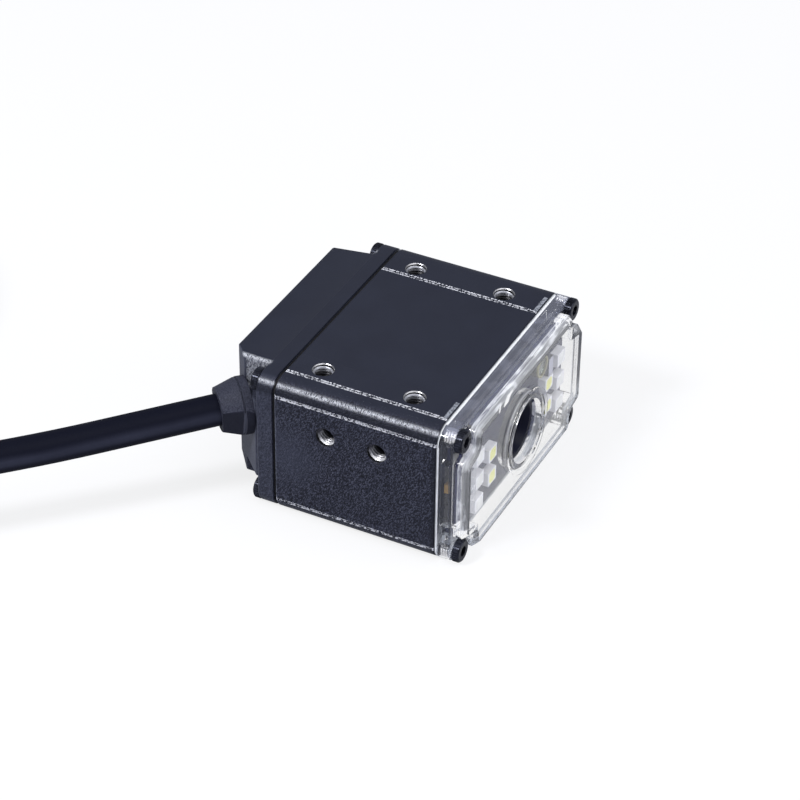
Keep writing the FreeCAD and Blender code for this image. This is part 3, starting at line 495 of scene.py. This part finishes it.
def bevel_light(clear, place, patches):
    """Share of painted light, as of light carried in the moulding, at its front band, its rear edge
    and a screw column, most on faces turned up and to the left.
    """
    x, y, z = place
    sideways, _, upwards = clear.facing()
    lit = (0.8 * upwards - 0.55 * sideways).band(0.05, 0.8)
    upper_face = upwards.band(0.1, 0.6)
    behind = y - PLATE_FRONT
    band = ((behind - 0.16 * MM * upper_face).band(0.1 * MM, 0.18 * MM)
            * behind.band(PLATE_BAND + 0.14 * MM, PLATE_BAND + 0.04 * MM))
    bevel = behind.band(PLATE_EDGE, PLATE_EDGE - 0.04 * MM)
    inner_edge = bevel * behind.band(0.01 * MM, 0.03 * MM)
    border = ((behind - PLATE_EDGE).size().least((behind - PLATE_BAND).size())
              .band(0.14 * MM, 0.06 * MM))
    lengthwise = clear.noise(0.24 * MM, 3.0, rough=0.6, stretch=(0.05, 1.0, 0.05))
    streaks = lengthwise.band(0.42, 0.58) * (0.25 + 0.75 * patches)
    rear_edge = ((y + 0.15 * MM * upper_face).band(CLEAR_REAR - 0.16 * MM, CLEAR_REAR - 0.08 * MM)
                 * (x.size() - HALF_WIDTH).most(z - BODY_TOP).band(-0.05 * MM, 0.0))
    column = (x.band(-17.0 * MM, -17.8 * MM) * x.band(-19.3 * MM, -19.1 * MM)
              * behind.band(0.03 * MM, 0.0))
    plate = band * (0.14 + 0.3 * bevel + 0.6 * streaks + 0.25 * border)
    edges = lit * plate.most(0.85 * rear_edge).most(0.32 * inner_edge)
    return edges.most(column * (0.05 + 0.25 * patches))


def make_clear_plastic():
    """Clear moulding, with painted light at its bevels and rear edge, as of light it carries, and
    painted shade on its outer rim.
    """
    clear = Finish("clear polycarbonate", (1.0, 1.0, 1.0), Roughness=0.0, IOR=1.45,
                   Transmission_Weight=1.0)
    place = x, y, z = clear.axes()
    above = z - BODY_TOP / 2
    collar = span(x, above).band(COLLAR_RADIUS + 0.2 * MM, COLLAR_RADIUS)
    dents = clear.noise(0.7 * MM)
    clear.bump(0.1 * clear.noise(4 * MM) + 1.4 * collar * dents, 0.05 * MM, 0.8)
    outer = ((x.size() - HALF_WIDTH).most(above.size() - BODY_TOP / 2)
             .band(-0.34 * MM, -0.3 * MM))
    # Painted shade: the outer rim of the flange is tinted dark
    rim = outer * y.band(FLANGE_FRONT + FLANGE_EDGE, FLANGE_FRONT + FLANGE_EDGE - 0.03 * MM)
    clear.set("Base Color", clear.mix(rim, (1.0, 1.0, 1.0), (0.36, 0.38, 0.45)))
    patches = clear.noise(2.5 * MM).band(0.4, 0.6)
    roof = z.band(BOX_TOP - 0.15 * MM, BOX_TOP - 0.05 * MM)
    left = x.band(0.15 * MM - BOX_SIDE, 0.05 * MM - BOX_SIDE)
    walls = y.band(PLATE_FRONT + PLATE_EDGE + 0.1 * MM, PLATE_FRONT + PLATE_EDGE + 0.2 * MM)
    passing = clear.node("ShaderNodeBsdfTransparent", {}, {"Color": (0.97, 0.975, 0.985, 1.0)})
    clear.blend(passing, clear.rays("Shadow").most(clear.rays("Diffuse")))
    clear.blend(clear.matt((0.52, 0.545, 0.68)),
                walls * (roof * (0.15 + 0.06 * patches)).most(0.04 * left))
    clear.blend(clear.matt((0.8, 0.81, 0.84)), bevel_light(clear, place, patches))
    return clear


def make_silicone():
    """Pale seal, with painted shade low down at the clear cover's rear face and behind it, where
    the cover presses on it and tucks it in.
    """
    seal = Finish("pale silicone", (0.68, 0.7, 0.73), Roughness=0.45)
    _, y, z = seal.axes()
    cloud = seal.noise(1.2 * MM, 3.0).band(0.3, 0.7)
    # Painted shade where the seal meets the clear cover and behind it
    low_shade = y.band(CLEAR_REAR + 0.03 * MM, CLEAR_REAR + 0.005 * MM) * z.band(3 * MM, 8 * MM)
    behind_shade = y.band(CLEAR_REAR + 0.07 * MM, CLEAR_REAR + 0.14 * MM)
    base = seal.mix(cloud, (0.56, 0.58, 0.61), (0.8, 0.82, 0.85))
    seal.set("Base Color", seal.mix(low_shade.most(0.75 * behind_shade), base, (0.05, 0.055, 0.07)))
    seal.bump(seal.noise(0.3 * MM), 0.01 * MM)
    return seal


def make_seal_rubber():
    """Matt dark rubber of the rear seal."""
    colour = (0.006, 0.006, 0.008)
    seal = Finish("dark seal", colour, Roughness=0.8)
    seal.lightly_worn(colour, 0.3)
    seal.bump(seal.noise(0.2 * MM), 0.01 * MM)
    return seal


def make_black_steel():
    """Oiled black oxide of the cover screws."""
    colour = (0.018, 0.02, 0.03)
    steel = Finish("black oxide steel", colour, Metallic=0.7, Roughness=0.3,
                   Specular_IOR_Level=0.3)
    cloud = steel.lightly_worn(colour, 0.35, 0.8 * MM)
    steel.set("Roughness", 0.24 + 0.2 * cloud)
    steel.bump(steel.noise(0.12 * MM), 0.008 * MM)
    return steel


def make_bright_metal(name, colour, roughness):
    """Plated or bare metal, a little uneven."""
    metal = Finish(name, colour, Metallic=1.0, Roughness=roughness)
    cloud = metal.lightly_worn(colour, 0.12, 0.7 * MM)
    metal.set("Roughness", roughness * 0.8 + roughness * 0.5 * cloud)
    metal.bump(metal.noise(0.1 * MM), 0.004 * MM)
    return metal


def make_moulding(name, colour, roughness, **constants):
    """Plain moulded plastic or rubber with a fine grain."""
    moulding = Finish(name, colour, Roughness=roughness, **constants)
    cloud = moulding.lightly_worn(colour, 0.12)
    moulding.set("Roughness", roughness * 0.9 + roughness * 0.2 * cloud)
    moulding.bump(moulding.noise(0.2 * MM), 0.01 * MM)
    return moulding


def make_board(name):
    """Dark blue solder mask with faint tracks under it."""
    board = Finish(name, (0.012, 0.015, 0.046), Roughness=0.65, Specular_IOR_Level=0.02)
    tracks = board.node("ShaderNodeTexBrick", {"offset": 0.5}, {
        "Vector": board.place(), "Scale": 900.0, "Mortar Size": 0.03,
        "Brick Width": 1.6, "Row Height": 0.5}, output="Fac")
    cloud = board.noise(2 * MM).band(0.4, 0.6)
    board.set("Base Color", board.mix(tracks * cloud, (0.01, 0.013, 0.044),
                                      (0.018, 0.022, 0.06)))
    board.bump(tracks * cloud + 0.3 * board.noise(0.3 * MM), 0.02 * MM)
    return board


def make_driver_chip():
    """Dark package with a pale matt lid."""
    chip = Finish("driver package", (0.02, 0.022, 0.045), Roughness=0.5)
    _, y, _ = chip.axes()
    lid = y.band(CHIP_LID + 0.06 * MM, CHIP_LID + 0.02 * MM)
    grain = chip.noise(0.2 * MM)
    side = chip.mix(grain, (0.014, 0.016, 0.036), (0.026, 0.028, 0.055))
    chip.set("Base Color", chip.mix(lid, side, (0.42, 0.42, 0.5)))
    chip.bump(grain, 0.01 * MM)
    return chip


def make_aimer_tube():
    """Black tube with its olive rim left bare."""
    black = (0.01, 0.01, 0.012)
    tube = Finish("aiming tube", black, Roughness=0.4, Specular_IOR_Level=0.2)
    _, y, _ = tube.axes()
    bare = y.band(AIMER_FRONT + 0.3 * MM, AIMER_FRONT + 0.2 * MM)
    cloud = tube.noise(0.5 * MM)
    rim = tube.mix(cloud, (0.2, 0.185, 0.09), (0.32, 0.3, 0.16))
    tube.set("Base Color", tube.mix(bare, black, rim))
    tube.bump(cloud, 0.006 * MM)
    return tube


def make_optical_glass():
    """Lens glass with a greenish coating."""
    glass = Finish("coated glass", (0.75, 0.9, 0.85), Roughness=0.01, IOR=1.6,
                   Transmission_Weight=1.0)
    glass.bump(glass.noise(3 * MM), 0.002 * MM, 0.2)
    return glass


def make_phosphor():
    """Yellow phosphor in fine grains."""
    phosphor = Finish("phosphor", (0.85, 0.78, 0.25), Roughness=0.55)
    grains = phosphor.noise(0.12 * MM, 3.0).band(0.3, 0.7)
    phosphor.set("Base Color", phosphor.mix(grains, (0.78, 0.76, 0.16), (0.92, 0.9, 0.4)))
    phosphor.bump(grains, 0.01 * MM)
    return phosphor


def make_boot_rubber():
    """Grained soft rubber, with painted shade on its flat and underneath, and a painted highlight
    along the crease at its collar.
    """
    boot = Finish("boot rubber", (0.03, 0.032, 0.047), Roughness=0.55, Specular_IOR_Level=0.12)
    place = boot.axes()
    out = distance_along(place, RELIEF_EXIT, FLAT_FACING)
    along = distance_along(place, RELIEF_EXIT, RELIEF_AXIS)
    flat = (out + FLAT_TAPER * along).band(FLAT_REACH - 0.07 * MM, FLAT_REACH - 0.03 * MM)
    # Painted shade on the flat and underneath, painted highlight along the crease
    dark = flat.most(place[2].band(RELIEF_EXIT.z - 1.2 * MM, RELIEF_EXIT.z - 1.8 * MM))
    crease = (along + COLLAR_END).size().band(0.24 * MM, 0.1 * MM)
    grain = boot.noise(0.16 * MM)
    tone = boot.mix(grain.band(0.4, 0.6), (0.021, 0.0225, 0.036), (0.042, 0.045, 0.066))
    boot.set("Base Color", boot.layered(tone, (0.85 * dark, (0.008, 0.009, 0.018)),
                                        (0.7 * crease * dark, (0.06, 0.064, 0.09))))
    boot.set("Roughness", 0.5 + 0.15 * grain)
    boot.bump(grain, 0.03 * MM)
    return boot


def make_cable_sheath():
    """Satin sheath, with a painted sheen along its flanks near the boot."""
    colour = (0.0055, 0.0062, 0.0125)
    sheath = Finish("cable sheath", colour, Roughness=0.4, Specular_IOR_Level=0.03)
    place = sheath.axes()
    along = distance_along(place, RELIEF_EXIT, RELIEF_AXIS)
    middle = (RELIEF_EXIT.z - CABLE_DROOP * along).most(CABLE_LOW)
    # Painted sheen along the flanks, by height around the cord's middle
    flank = ((place[2] - middle - 0.34 * MM).size().band(1.25 * MM, 0.14 * MM)
             * along.band(46 * MM, 36 * MM))
    cloud = sheath.noise(8 * MM, 3.0).band(0.3, 0.7)
    pale = flank * (0.75 + 0.25 * cloud)
    sheath.set("Base Color", sheath.mix(pale, colour, (0.023, 0.025, 0.041)))
    sheath.set("Roughness", 0.42 + 0.12 * cloud)
    sheath.bump(sheath.noise(0.5 * MM, 3.0), 0.008 * MM)
    return sheath


def make_thread_metal():
    """Bare cut thread, with painted shade at depth, in the roots and on the upper sides of the side
    holes, and painted light where the sides of the side holes face up.
    """
    metal = Finish("bare thread", (0.6, 0.6, 0.61), Metallic=0.45, Roughness=0.3)
    depth = hole_distances(metal)[1]
    scratches = metal.noise(0.08 * MM)
    x, y, z = metal.axes()
    in_side = x.size().band(SIDE_HOLES_END, SIDE_HOLES_END + 0.1 * MM)
    deep_shade = (depth - 1.2 * MM * in_side).band(0.35 * MM, 1.4 * MM)
    roots = depth.fold(THREAD_PITCH / 2).band(0.14 * MM, 0.2 * MM)
    low = z.band(SIDE_HOLES.z + 0.1 * MM, SIDE_HOLES.z - 0.9 * MM)
    off_middle = ((y - SIDE_HOLES.y).size() - SIDE_HOLE_SPREAD).size()
    spot = low * depth.band(1.3 * MM, 0.9 * MM) * off_middle.band(1.3 * MM, 0.9 * MM)
    upper_shade = in_side * (1 - 0.85 * low)
    shaded = upper_shade.most(0.8 * roots * in_side * (1 - 0.8 * spot))
    # Side-hole threads painted brighter than those in the top holes, as painted light
    bright = metal.mix(in_side, (0.4, 0.41, 0.46), (0.95, 0.955, 1.0))
    metal.set("Base Color", metal.layered(bright, (shaded, (0.07, 0.07, 0.09)),
                                          (deep_shade, (0.015, 0.015, 0.02))))
    metal.set("Roughness", 0.22 + 0.3 * scratches)
    metal.bump(scratches, 0.004 * MM)
    return metal


def make_finishes():
    """Every finish by the name that the pieces ask for."""
    return {
        "coat": make_coat("powder coat", True),
        "rear_coat": make_coat("powder coat rear", False),
        "clear": make_clear_plastic(),
        "silicone": make_silicone(),
        "seal": make_seal_rubber(),
        "black_steel": make_black_steel(),
        "bare_metal": make_thread_metal(),
        "steel": make_bright_metal("plated steel", (0.62, 0.62, 0.64), 0.25),
        "brass": make_bright_metal("plated brass", (0.78, 0.62, 0.3), 0.25),
        "nickel": make_bright_metal("nickel", (0.66, 0.65, 0.62), 0.2),
        "board": make_board("solder mask"),
        "led_body": make_moulding("lamp moulding", (0.82, 0.81, 0.84), 0.45),
        "led_face": make_moulding("lamp face", (0.82, 0.82, 0.8), 0.15),
        "phosphor": make_phosphor(),
        "chip": make_moulding("chip epoxy", (0.018, 0.018, 0.02), 0.5),
        "capacitor": make_moulding("capacitor case", (0.9, 0.5, 0.09), 0.4),
        "black_plastic": make_moulding("black plastic", (0.012, 0.0132, 0.024), 0.55,
                                        Specular_IOR_Level=0.12),
        "black_metal": make_moulding("black anodised", (0.0045, 0.0055, 0.016), 0.4,
                                      Specular_IOR_Level=0.12),
        "driver_chip": make_driver_chip(),
        "aimer_tube": make_aimer_tube(),
        "glass": make_optical_glass(),
        "pale_plastic": make_moulding("natural nylon", (0.7, 0.68, 0.6), 0.45),
        "leads": make_moulding("lead sheath", (0.45, 0.45, 0.46), 0.4),
        "boot": make_boot_rubber(),
        "sheath": make_cable_sheath(),
    }


NODE_FINISHES = {
    "housing": "coat", "rear_cover": "rear_coat", "front_cover": "clear",
    "front_gasket": "silicone", "rear_gasket": "seal",
    "front_screws": "black_steel", "rear_screws": "black_steel",
    "light_board": "board", "white_leds": "led_body", "white_led_faces": "phosphor",
    "side_leds": "led_body", "side_led_faces": "led_face", "driver_chip": "driver_chip",
    "board_capacitors": "capacitor", "optics_carrier": "black_plastic",
    "lens_barrel": "black_metal", "lens_front_element": "glass",
    "lens_lock_ring": "black_metal", "lens_rear_element": "glass",
    "aimer_tube": "aimer_tube", "aimer_lens": "glass", "aimer_diode": "steel",
    "sensor_board": "board", "image_sensor": "chip", "sensor_glass": "glass",
    "board_spacers": "brass", "spacer_screws": "steel", "decoder_board": "board",
    "processor": "chip", "memory_chip": "chip", "link_connector": "black_plastic",
    "cable_header": "pale_plastic", "lead_plug": "pale_plastic", "lead_wires": "leads",
    "strain_relief": "boot", "data_cable": "sheath", "cable_coil": "sheath",
    "plug_grip": "boot", "plug_nut": "nickel", "plug_insert": "black_plastic",
    "plug_pins": "brass",
}

# What counts as a seam, as flat and as an edge
SEAM_GAP = 0.001 * MM
FLAT_ANGLE = math.radians(0.2)
EDGE_ANGLE = math.radians(35)
CRISP_ANGLE = math.radians(28)
THREAD_ANGLE = math.radians(60)

# Pieces shown as merged copies, with the width of their rounded edges
FINE_EDGES = {"housing": 0.06 * MM, "rear_cover": 0.08 * MM, "front_cover": 0.0,
              "front_gasket": 0.0, "rear_gasket": 0.0, "front_screws": 0.05 * MM,
              "rear_screws": 0.05 * MM, "strain_relief": 0.08 * MM, "light_board": 0.0,
              "white_leds": 0.06 * MM, "side_leds": 0.06 * MM, "white_led_faces": 0.0,
              "side_led_faces": 0.0, "lens_barrel": 0.0, "lens_front_element": 0.0,
              "aimer_tube": 0.0, "aimer_lens": 0.0, "plug_grip": 0.1 * MM,
              "plug_nut": 0.08 * MM, "plug_insert": 0.0}


def add_piece(name, mesh_source, finish):
    """New object from a bmesh, at the origin, riding with the reader."""
    mesh = bpy.data.meshes.new(name)
    mesh_source.to_mesh(mesh)
    mesh_source.free()
    piece = bpy.data.objects.new(name, mesh)
    bpy.context.scene.collection.objects.link(piece)
    mesh.materials.append(finish.material)
    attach(piece, "root")
    return piece


def soften(work, crisp_angle=CRISP_ANGLE):
    """Smooth faces, with the edges sharper than the angle kept crisp."""
    for face in work.faces:
        face.smooth = True
    for edge in work.edges:
        edge.smooth = edge.calc_face_angle(math.pi) < crisp_angle


def mark_facing(work):
    """Write on each face the way it points, for finishes that ask."""
    work.normal_update()
    facing = work.faces.layers.float_vector.new("facing")
    for face in work.faces:
        face[facing] = face.normal


def merged_copy(name, finish, edge):
    """Copy of a CAD node with its seams merged, crisp smooth shading and fine rounded edges."""
    work = bmesh.new()
    work.from_mesh(nodes[name].data)
    bmesh.ops.remove_doubles(work, verts=work.verts, dist=SEAM_GAP)
    bmesh.ops.dissolve_limit(work, verts=work.verts, edges=work.edges, angle_limit=FLAT_ANGLE)
    soften(work)
    mark_facing(work)
    piece = add_piece(name + "_shown", work, finish)
    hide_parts(name)
    if edge:
        bevel = piece.modifiers.new("fine edges", "BEVEL")
        bevel.width = edge
        bevel.segments = 2
        bevel.limit_method = "ANGLE"
        bevel.angle_limit = EDGE_ANGLE
        bevel.harden_normals = True
    return piece


def thread_liner(work, mouth, inward, outer, inner, pitch, length):
    """Helical thread surface from a mouth point inwards, added to a bmesh."""
    flat = 0.1
    across = inward.orthogonal().normalized()
    profile = [(outer, 0.0), (inner, 0.5 - flat / 2), (inner, 0.5 + flat / 2), (outer, 1.0)]
    start = [work.verts.new(mouth + across * radius + inward * (pitch * share))
             for radius, share in profile]
    edges = [work.edges.new(pair) for pair in zip(start, start[1:])]
    turns = length / pitch - 1
    steps = int(POINTS_PER_TURN * turns)
    bmesh.ops.spin(work, geom=start + edges, cent=mouth, axis=inward,
                   dvec=inward * (pitch * turns / steps), angle=2 * math.pi * turns, steps=steps)


def make_hole_threads(finish):
    """Thread turns in the four top holes and the two holes on each side."""
    work = bmesh.new()
    for side in (-1, 1):
        for step in (-1, 1):
            top = Vector((side * TOP_HOLES.x, TOP_HOLES.y + step * TOP_HOLE_SPREAD,
                          TOP_HOLES.z - 0.2 * MM))
            flank = Vector((side * (SIDE_HOLES.x - 0.3 * MM),
                            SIDE_HOLES.y + step * SIDE_HOLE_SPREAD, SIDE_HOLES.z))
            for mouth, inward in ((top, -UP), (flank, Vector((-side, 0, 0)))):
                thread_liner(work, mouth, inward, THREAD_RADIUS, THREAD_RADIUS - THREAD_DEPTH,
                             THREAD_PITCH, THREAD_LENGTH)
    bmesh.ops.remove_doubles(work, verts=work.verts, dist=0.002 * MM)
    soften(work, THREAD_ANGLE)
    add_piece("hole_threads", work, finish)


def add_rod(work, start, along, radius, length, segments):
    """Closed round bar from a start point, added to a bmesh."""
    turn = along.to_track_quat("Z", "Y").to_matrix().to_4x4()
    place = Matrix.Translation(start + along * (length / 2)) @ turn
    bmesh.ops.create_cone(work, cap_ends=True, segments=segments, radius1=radius,
                          radius2=radius, depth=length, matrix=place)


def make_screw_details(name, seat, outward, head_finish, thread_finish):
    """Knurled heads of four cover screws, and the thread between head and housing."""
    along = Vector((0, outward, 0))
    knurls = bmesh.new()
    threads = bmesh.new()
    root = SHANK_RADIUS - 0.01 * MM
    for side in (-1, 1):
        for height in SCREW_HEIGHTS:
            centre = Vector((side * SCREW_X, seat, height))
            for index in range(KNURL_COUNT):
                angle = 2 * math.pi * index / KNURL_COUNT
                reach = Vector((math.cos(angle), 0, math.sin(angle))) * (HEAD_RADIUS - 0.01 * MM)
                add_rod(knurls, centre + reach + along * 0.08 * MM, along, KNURL_RADIUS,
                        HEAD_HEIGHT - 0.3 * MM, KNURL_SIDES)
            thread_liner(threads, centre - along * 0.02 * MM, -along, root,
                         root + SCREW_THREAD_DEPTH, SCREW_PITCH, SCREW_THREAD_LENGTH)
    soften(knurls)
    soften(threads, THREAD_ANGLE)
    add_piece(name + "_knurls", knurls, head_finish)
    add_piece(name + "_threads", threads, thread_finish)


def coil_radius(turn):
    """Radius of the coil after so many turns."""
    for (start, first), (end, last) in zip(COIL_RADII, COIL_RADII[1:]):
        if turn <= end:
            return MM * (first + (last - first) * (turn - start) / (end - start))
    return MM * COIL_RADII[-1][1]


def coil_points():
    """Turns of the coil, laid clockwise and down layer by layer."""
    total = COIL_RADII[-1][0]
    count = int(total * POINTS_PER_TURN)
    points = []
    for index in range(1, count + 1):
        turn = total * index / count
        shares = [min(1.0, max(0.0, (turn - drop) / COIL_DROP_TURNS)) for drop in COIL_DROPS]
        fall = COIL_DROP * sum(share * share * (3 - 2 * share) for share in shares)
        angle = math.pi * (1 - 2 * turn)
        reach = coil_radius(turn)
        points.append(COIL_MIDDLE + Vector((reach * math.cos(angle), reach * math.sin(angle),
                                            -fall)))
    return points


def cable_points():
    """Control points of the cord: boot, drooping length, coil and plug end."""
    first, second, third, fourth, touch = CABLE_BENDS
    points = [RELIEF_EXIT, (RELIEF_EXIT + first) / 2, first, (first + second) / 2, second,
              third, fourth, (fourth + touch) / 2, touch]
    points += coil_points()
    return points + [points[-1] + step for step in CABLE_TAIL]


def make_cable(finish):
    """The cord as one smooth round curve from the boot to the plug."""
    curve = bpy.data.curves.new("data_cord", "CURVE")
    curve.dimensions = "3D"
    curve.bevel_depth = CABLE_DIAMETER / 2
    curve.bevel_resolution = 6
    curve.resolution_u = 4
    curve.use_fill_caps = True
    line = curve.splines.new("NURBS")
    points = cable_points()
    line.points.add(len(points) - 1)
    for spot, point in zip(line.points, points):
        spot.co = (*point, 1.0)
    line.order_u = 3
    line.use_endpoint_u = True
    cable = bpy.data.objects.new("data_cord", curve)
    bpy.context.scene.collection.objects.link(cable)
    curve.materials.append(finish.material)
    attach(cable, "root")
    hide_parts("data_cable", "cable_coil")
    return cable


def make_camera():
    """Camera with its right, forward and up axes turned as the fitted angles say."""
    turn = (Matrix.Rotation(CAMERA_ROLL, 3, "Y") @ Matrix.Rotation(CAMERA_TILT, 3, "X")
            @ Matrix.Rotation(CAMERA_HEADING, 3, "Z"))
    right, ahead, up = turn
    data = bpy.data.cameras.new("camera")
    data.lens = CAMERA_LENS
    data.sensor_width = 36.0
    data.clip_start = 0.01
    camera = bpy.data.objects.new("camera", data)
    bpy.context.scene.collection.objects.link(camera)
    axes = Matrix((right, up, -ahead)).transposed().to_4x4()
    camera.matrix_world = Matrix.Translation(CAMERA_PLACE) @ axes
    bpy.context.scene.camera = camera


def add_light(name, direction, distance, size, power):
    """Round soft lamp that faces the middle of the reader."""
    data = bpy.data.lights.new(name, "AREA")
    data.shape = "DISK"
    data.size = size
    data.energy = power
    light = bpy.data.objects.new(name, data)
    direction = Vector(direction).normalized()
    light.location = LIT_MIDDLE + direction * distance
    light.rotation_mode = "QUATERNION"
    light.rotation_quaternion = direction.to_track_quat("Z", "Y")
    bpy.context.scene.collection.objects.link(light)


def make_world():
    """White paper behind and under everything, and a softer light from all round."""
    world = bpy.data.worlds.new("studio")
    world.use_nodes = True
    bpy.context.scene.world = world
    world.node_tree.nodes.clear()
    sky = Shading(world.node_tree)
    ambient, mirror, white = [
        sky.node("ShaderNodeBackground", {}, {"Color": (*colour, 1.0), "Strength": strength})
        for colour, strength in (((0.88, 0.92, 1.0), WORLD_LIGHT), ((0.9, 0.93, 1.0), WORLD_GLOSS),
                                 ((1.0, 1.0, 1.0), 1.0))]
    lit = sky.node("ShaderNodeMixShader", {}, {0: sky.rays("Glossy"), 1: ambient, 2: mirror})
    seen = sky.rays("Camera").most(sky.rays("Transmission"))
    shown = sky.node("ShaderNodeMixShader", {}, {0: seen, 1: lit, 2: white})
    sky.node("ShaderNodeOutputWorld", {}, {"Surface": shown})


def make_floor():
    """Pale floor that reads as white paper and still keeps a soft shadow."""
    work = bmesh.new()
    bmesh.ops.create_grid(work, x_segments=1, y_segments=1, size=FLOOR_REACH)
    mesh = bpy.data.meshes.new("floor")
    work.to_mesh(mesh)
    work.free()
    floor = bpy.data.objects.new("floor", mesh)
    floor.location.z = -FLOOR_GAP
    bpy.context.scene.collection.objects.link(floor)
    paper = Finish("paper", (0.78, 0.79, 0.85), Roughness=0.9, Specular_IOR_Level=0.0)
    mirrored = paper.rays("Glossy")
    glow = paper.node("ShaderNodeEmission", {}, {"Color": (1, 1, 1, 1), "Strength": 1.0})
    dimmer = paper.node("ShaderNodeEmission", {}, {"Color": (0.86, 0.9, 1.0, 1.0),
                                                   "Strength": FLOOR_GLOSS})
    _, y, _ = paper.axes()
    outer, front, rear, inner = NEAR_STRIP
    near = y.band(outer, front) * y.band(inner, rear)
    paper.blend(dimmer, 0.8 * mirrored)
    paper.blend(glow, NEAR_FLOOR * near * mirrored)
    paper.blend(glow, (0.8 * paper.rays("Camera")).most(0.95 * paper.rays("Transmission")))
    mesh.materials.append(paper.material)


make_camera()
finishes = make_finishes()
for node_name, finish_name in NODE_FINISHES.items():
    node_mesh = nodes[node_name].data
    node_mesh.materials.clear()
    node_mesh.materials.append(finishes[finish_name].material)

cable = make_cable(finishes["sheath"])
shown = {node_name: merged_copy(node_name, finishes[NODE_FINISHES[node_name]], edge)
         for node_name, edge in FINE_EDGES.items()}

make_hole_threads(finishes["bare_metal"])
for screw_name, seat, outward in (("front_screw", FRONT_SEAT, -1), ("rear_screw", REAR_SEAT, 1)):
    make_screw_details(screw_name, seat, outward, finishes["black_steel"], finishes["steel"])

route = cable_points()

for lamp in LAMPS:
    add_light(*lamp)
make_world()
make_floor()
bpy.context.scene.view_settings.view_transform = "Standard"
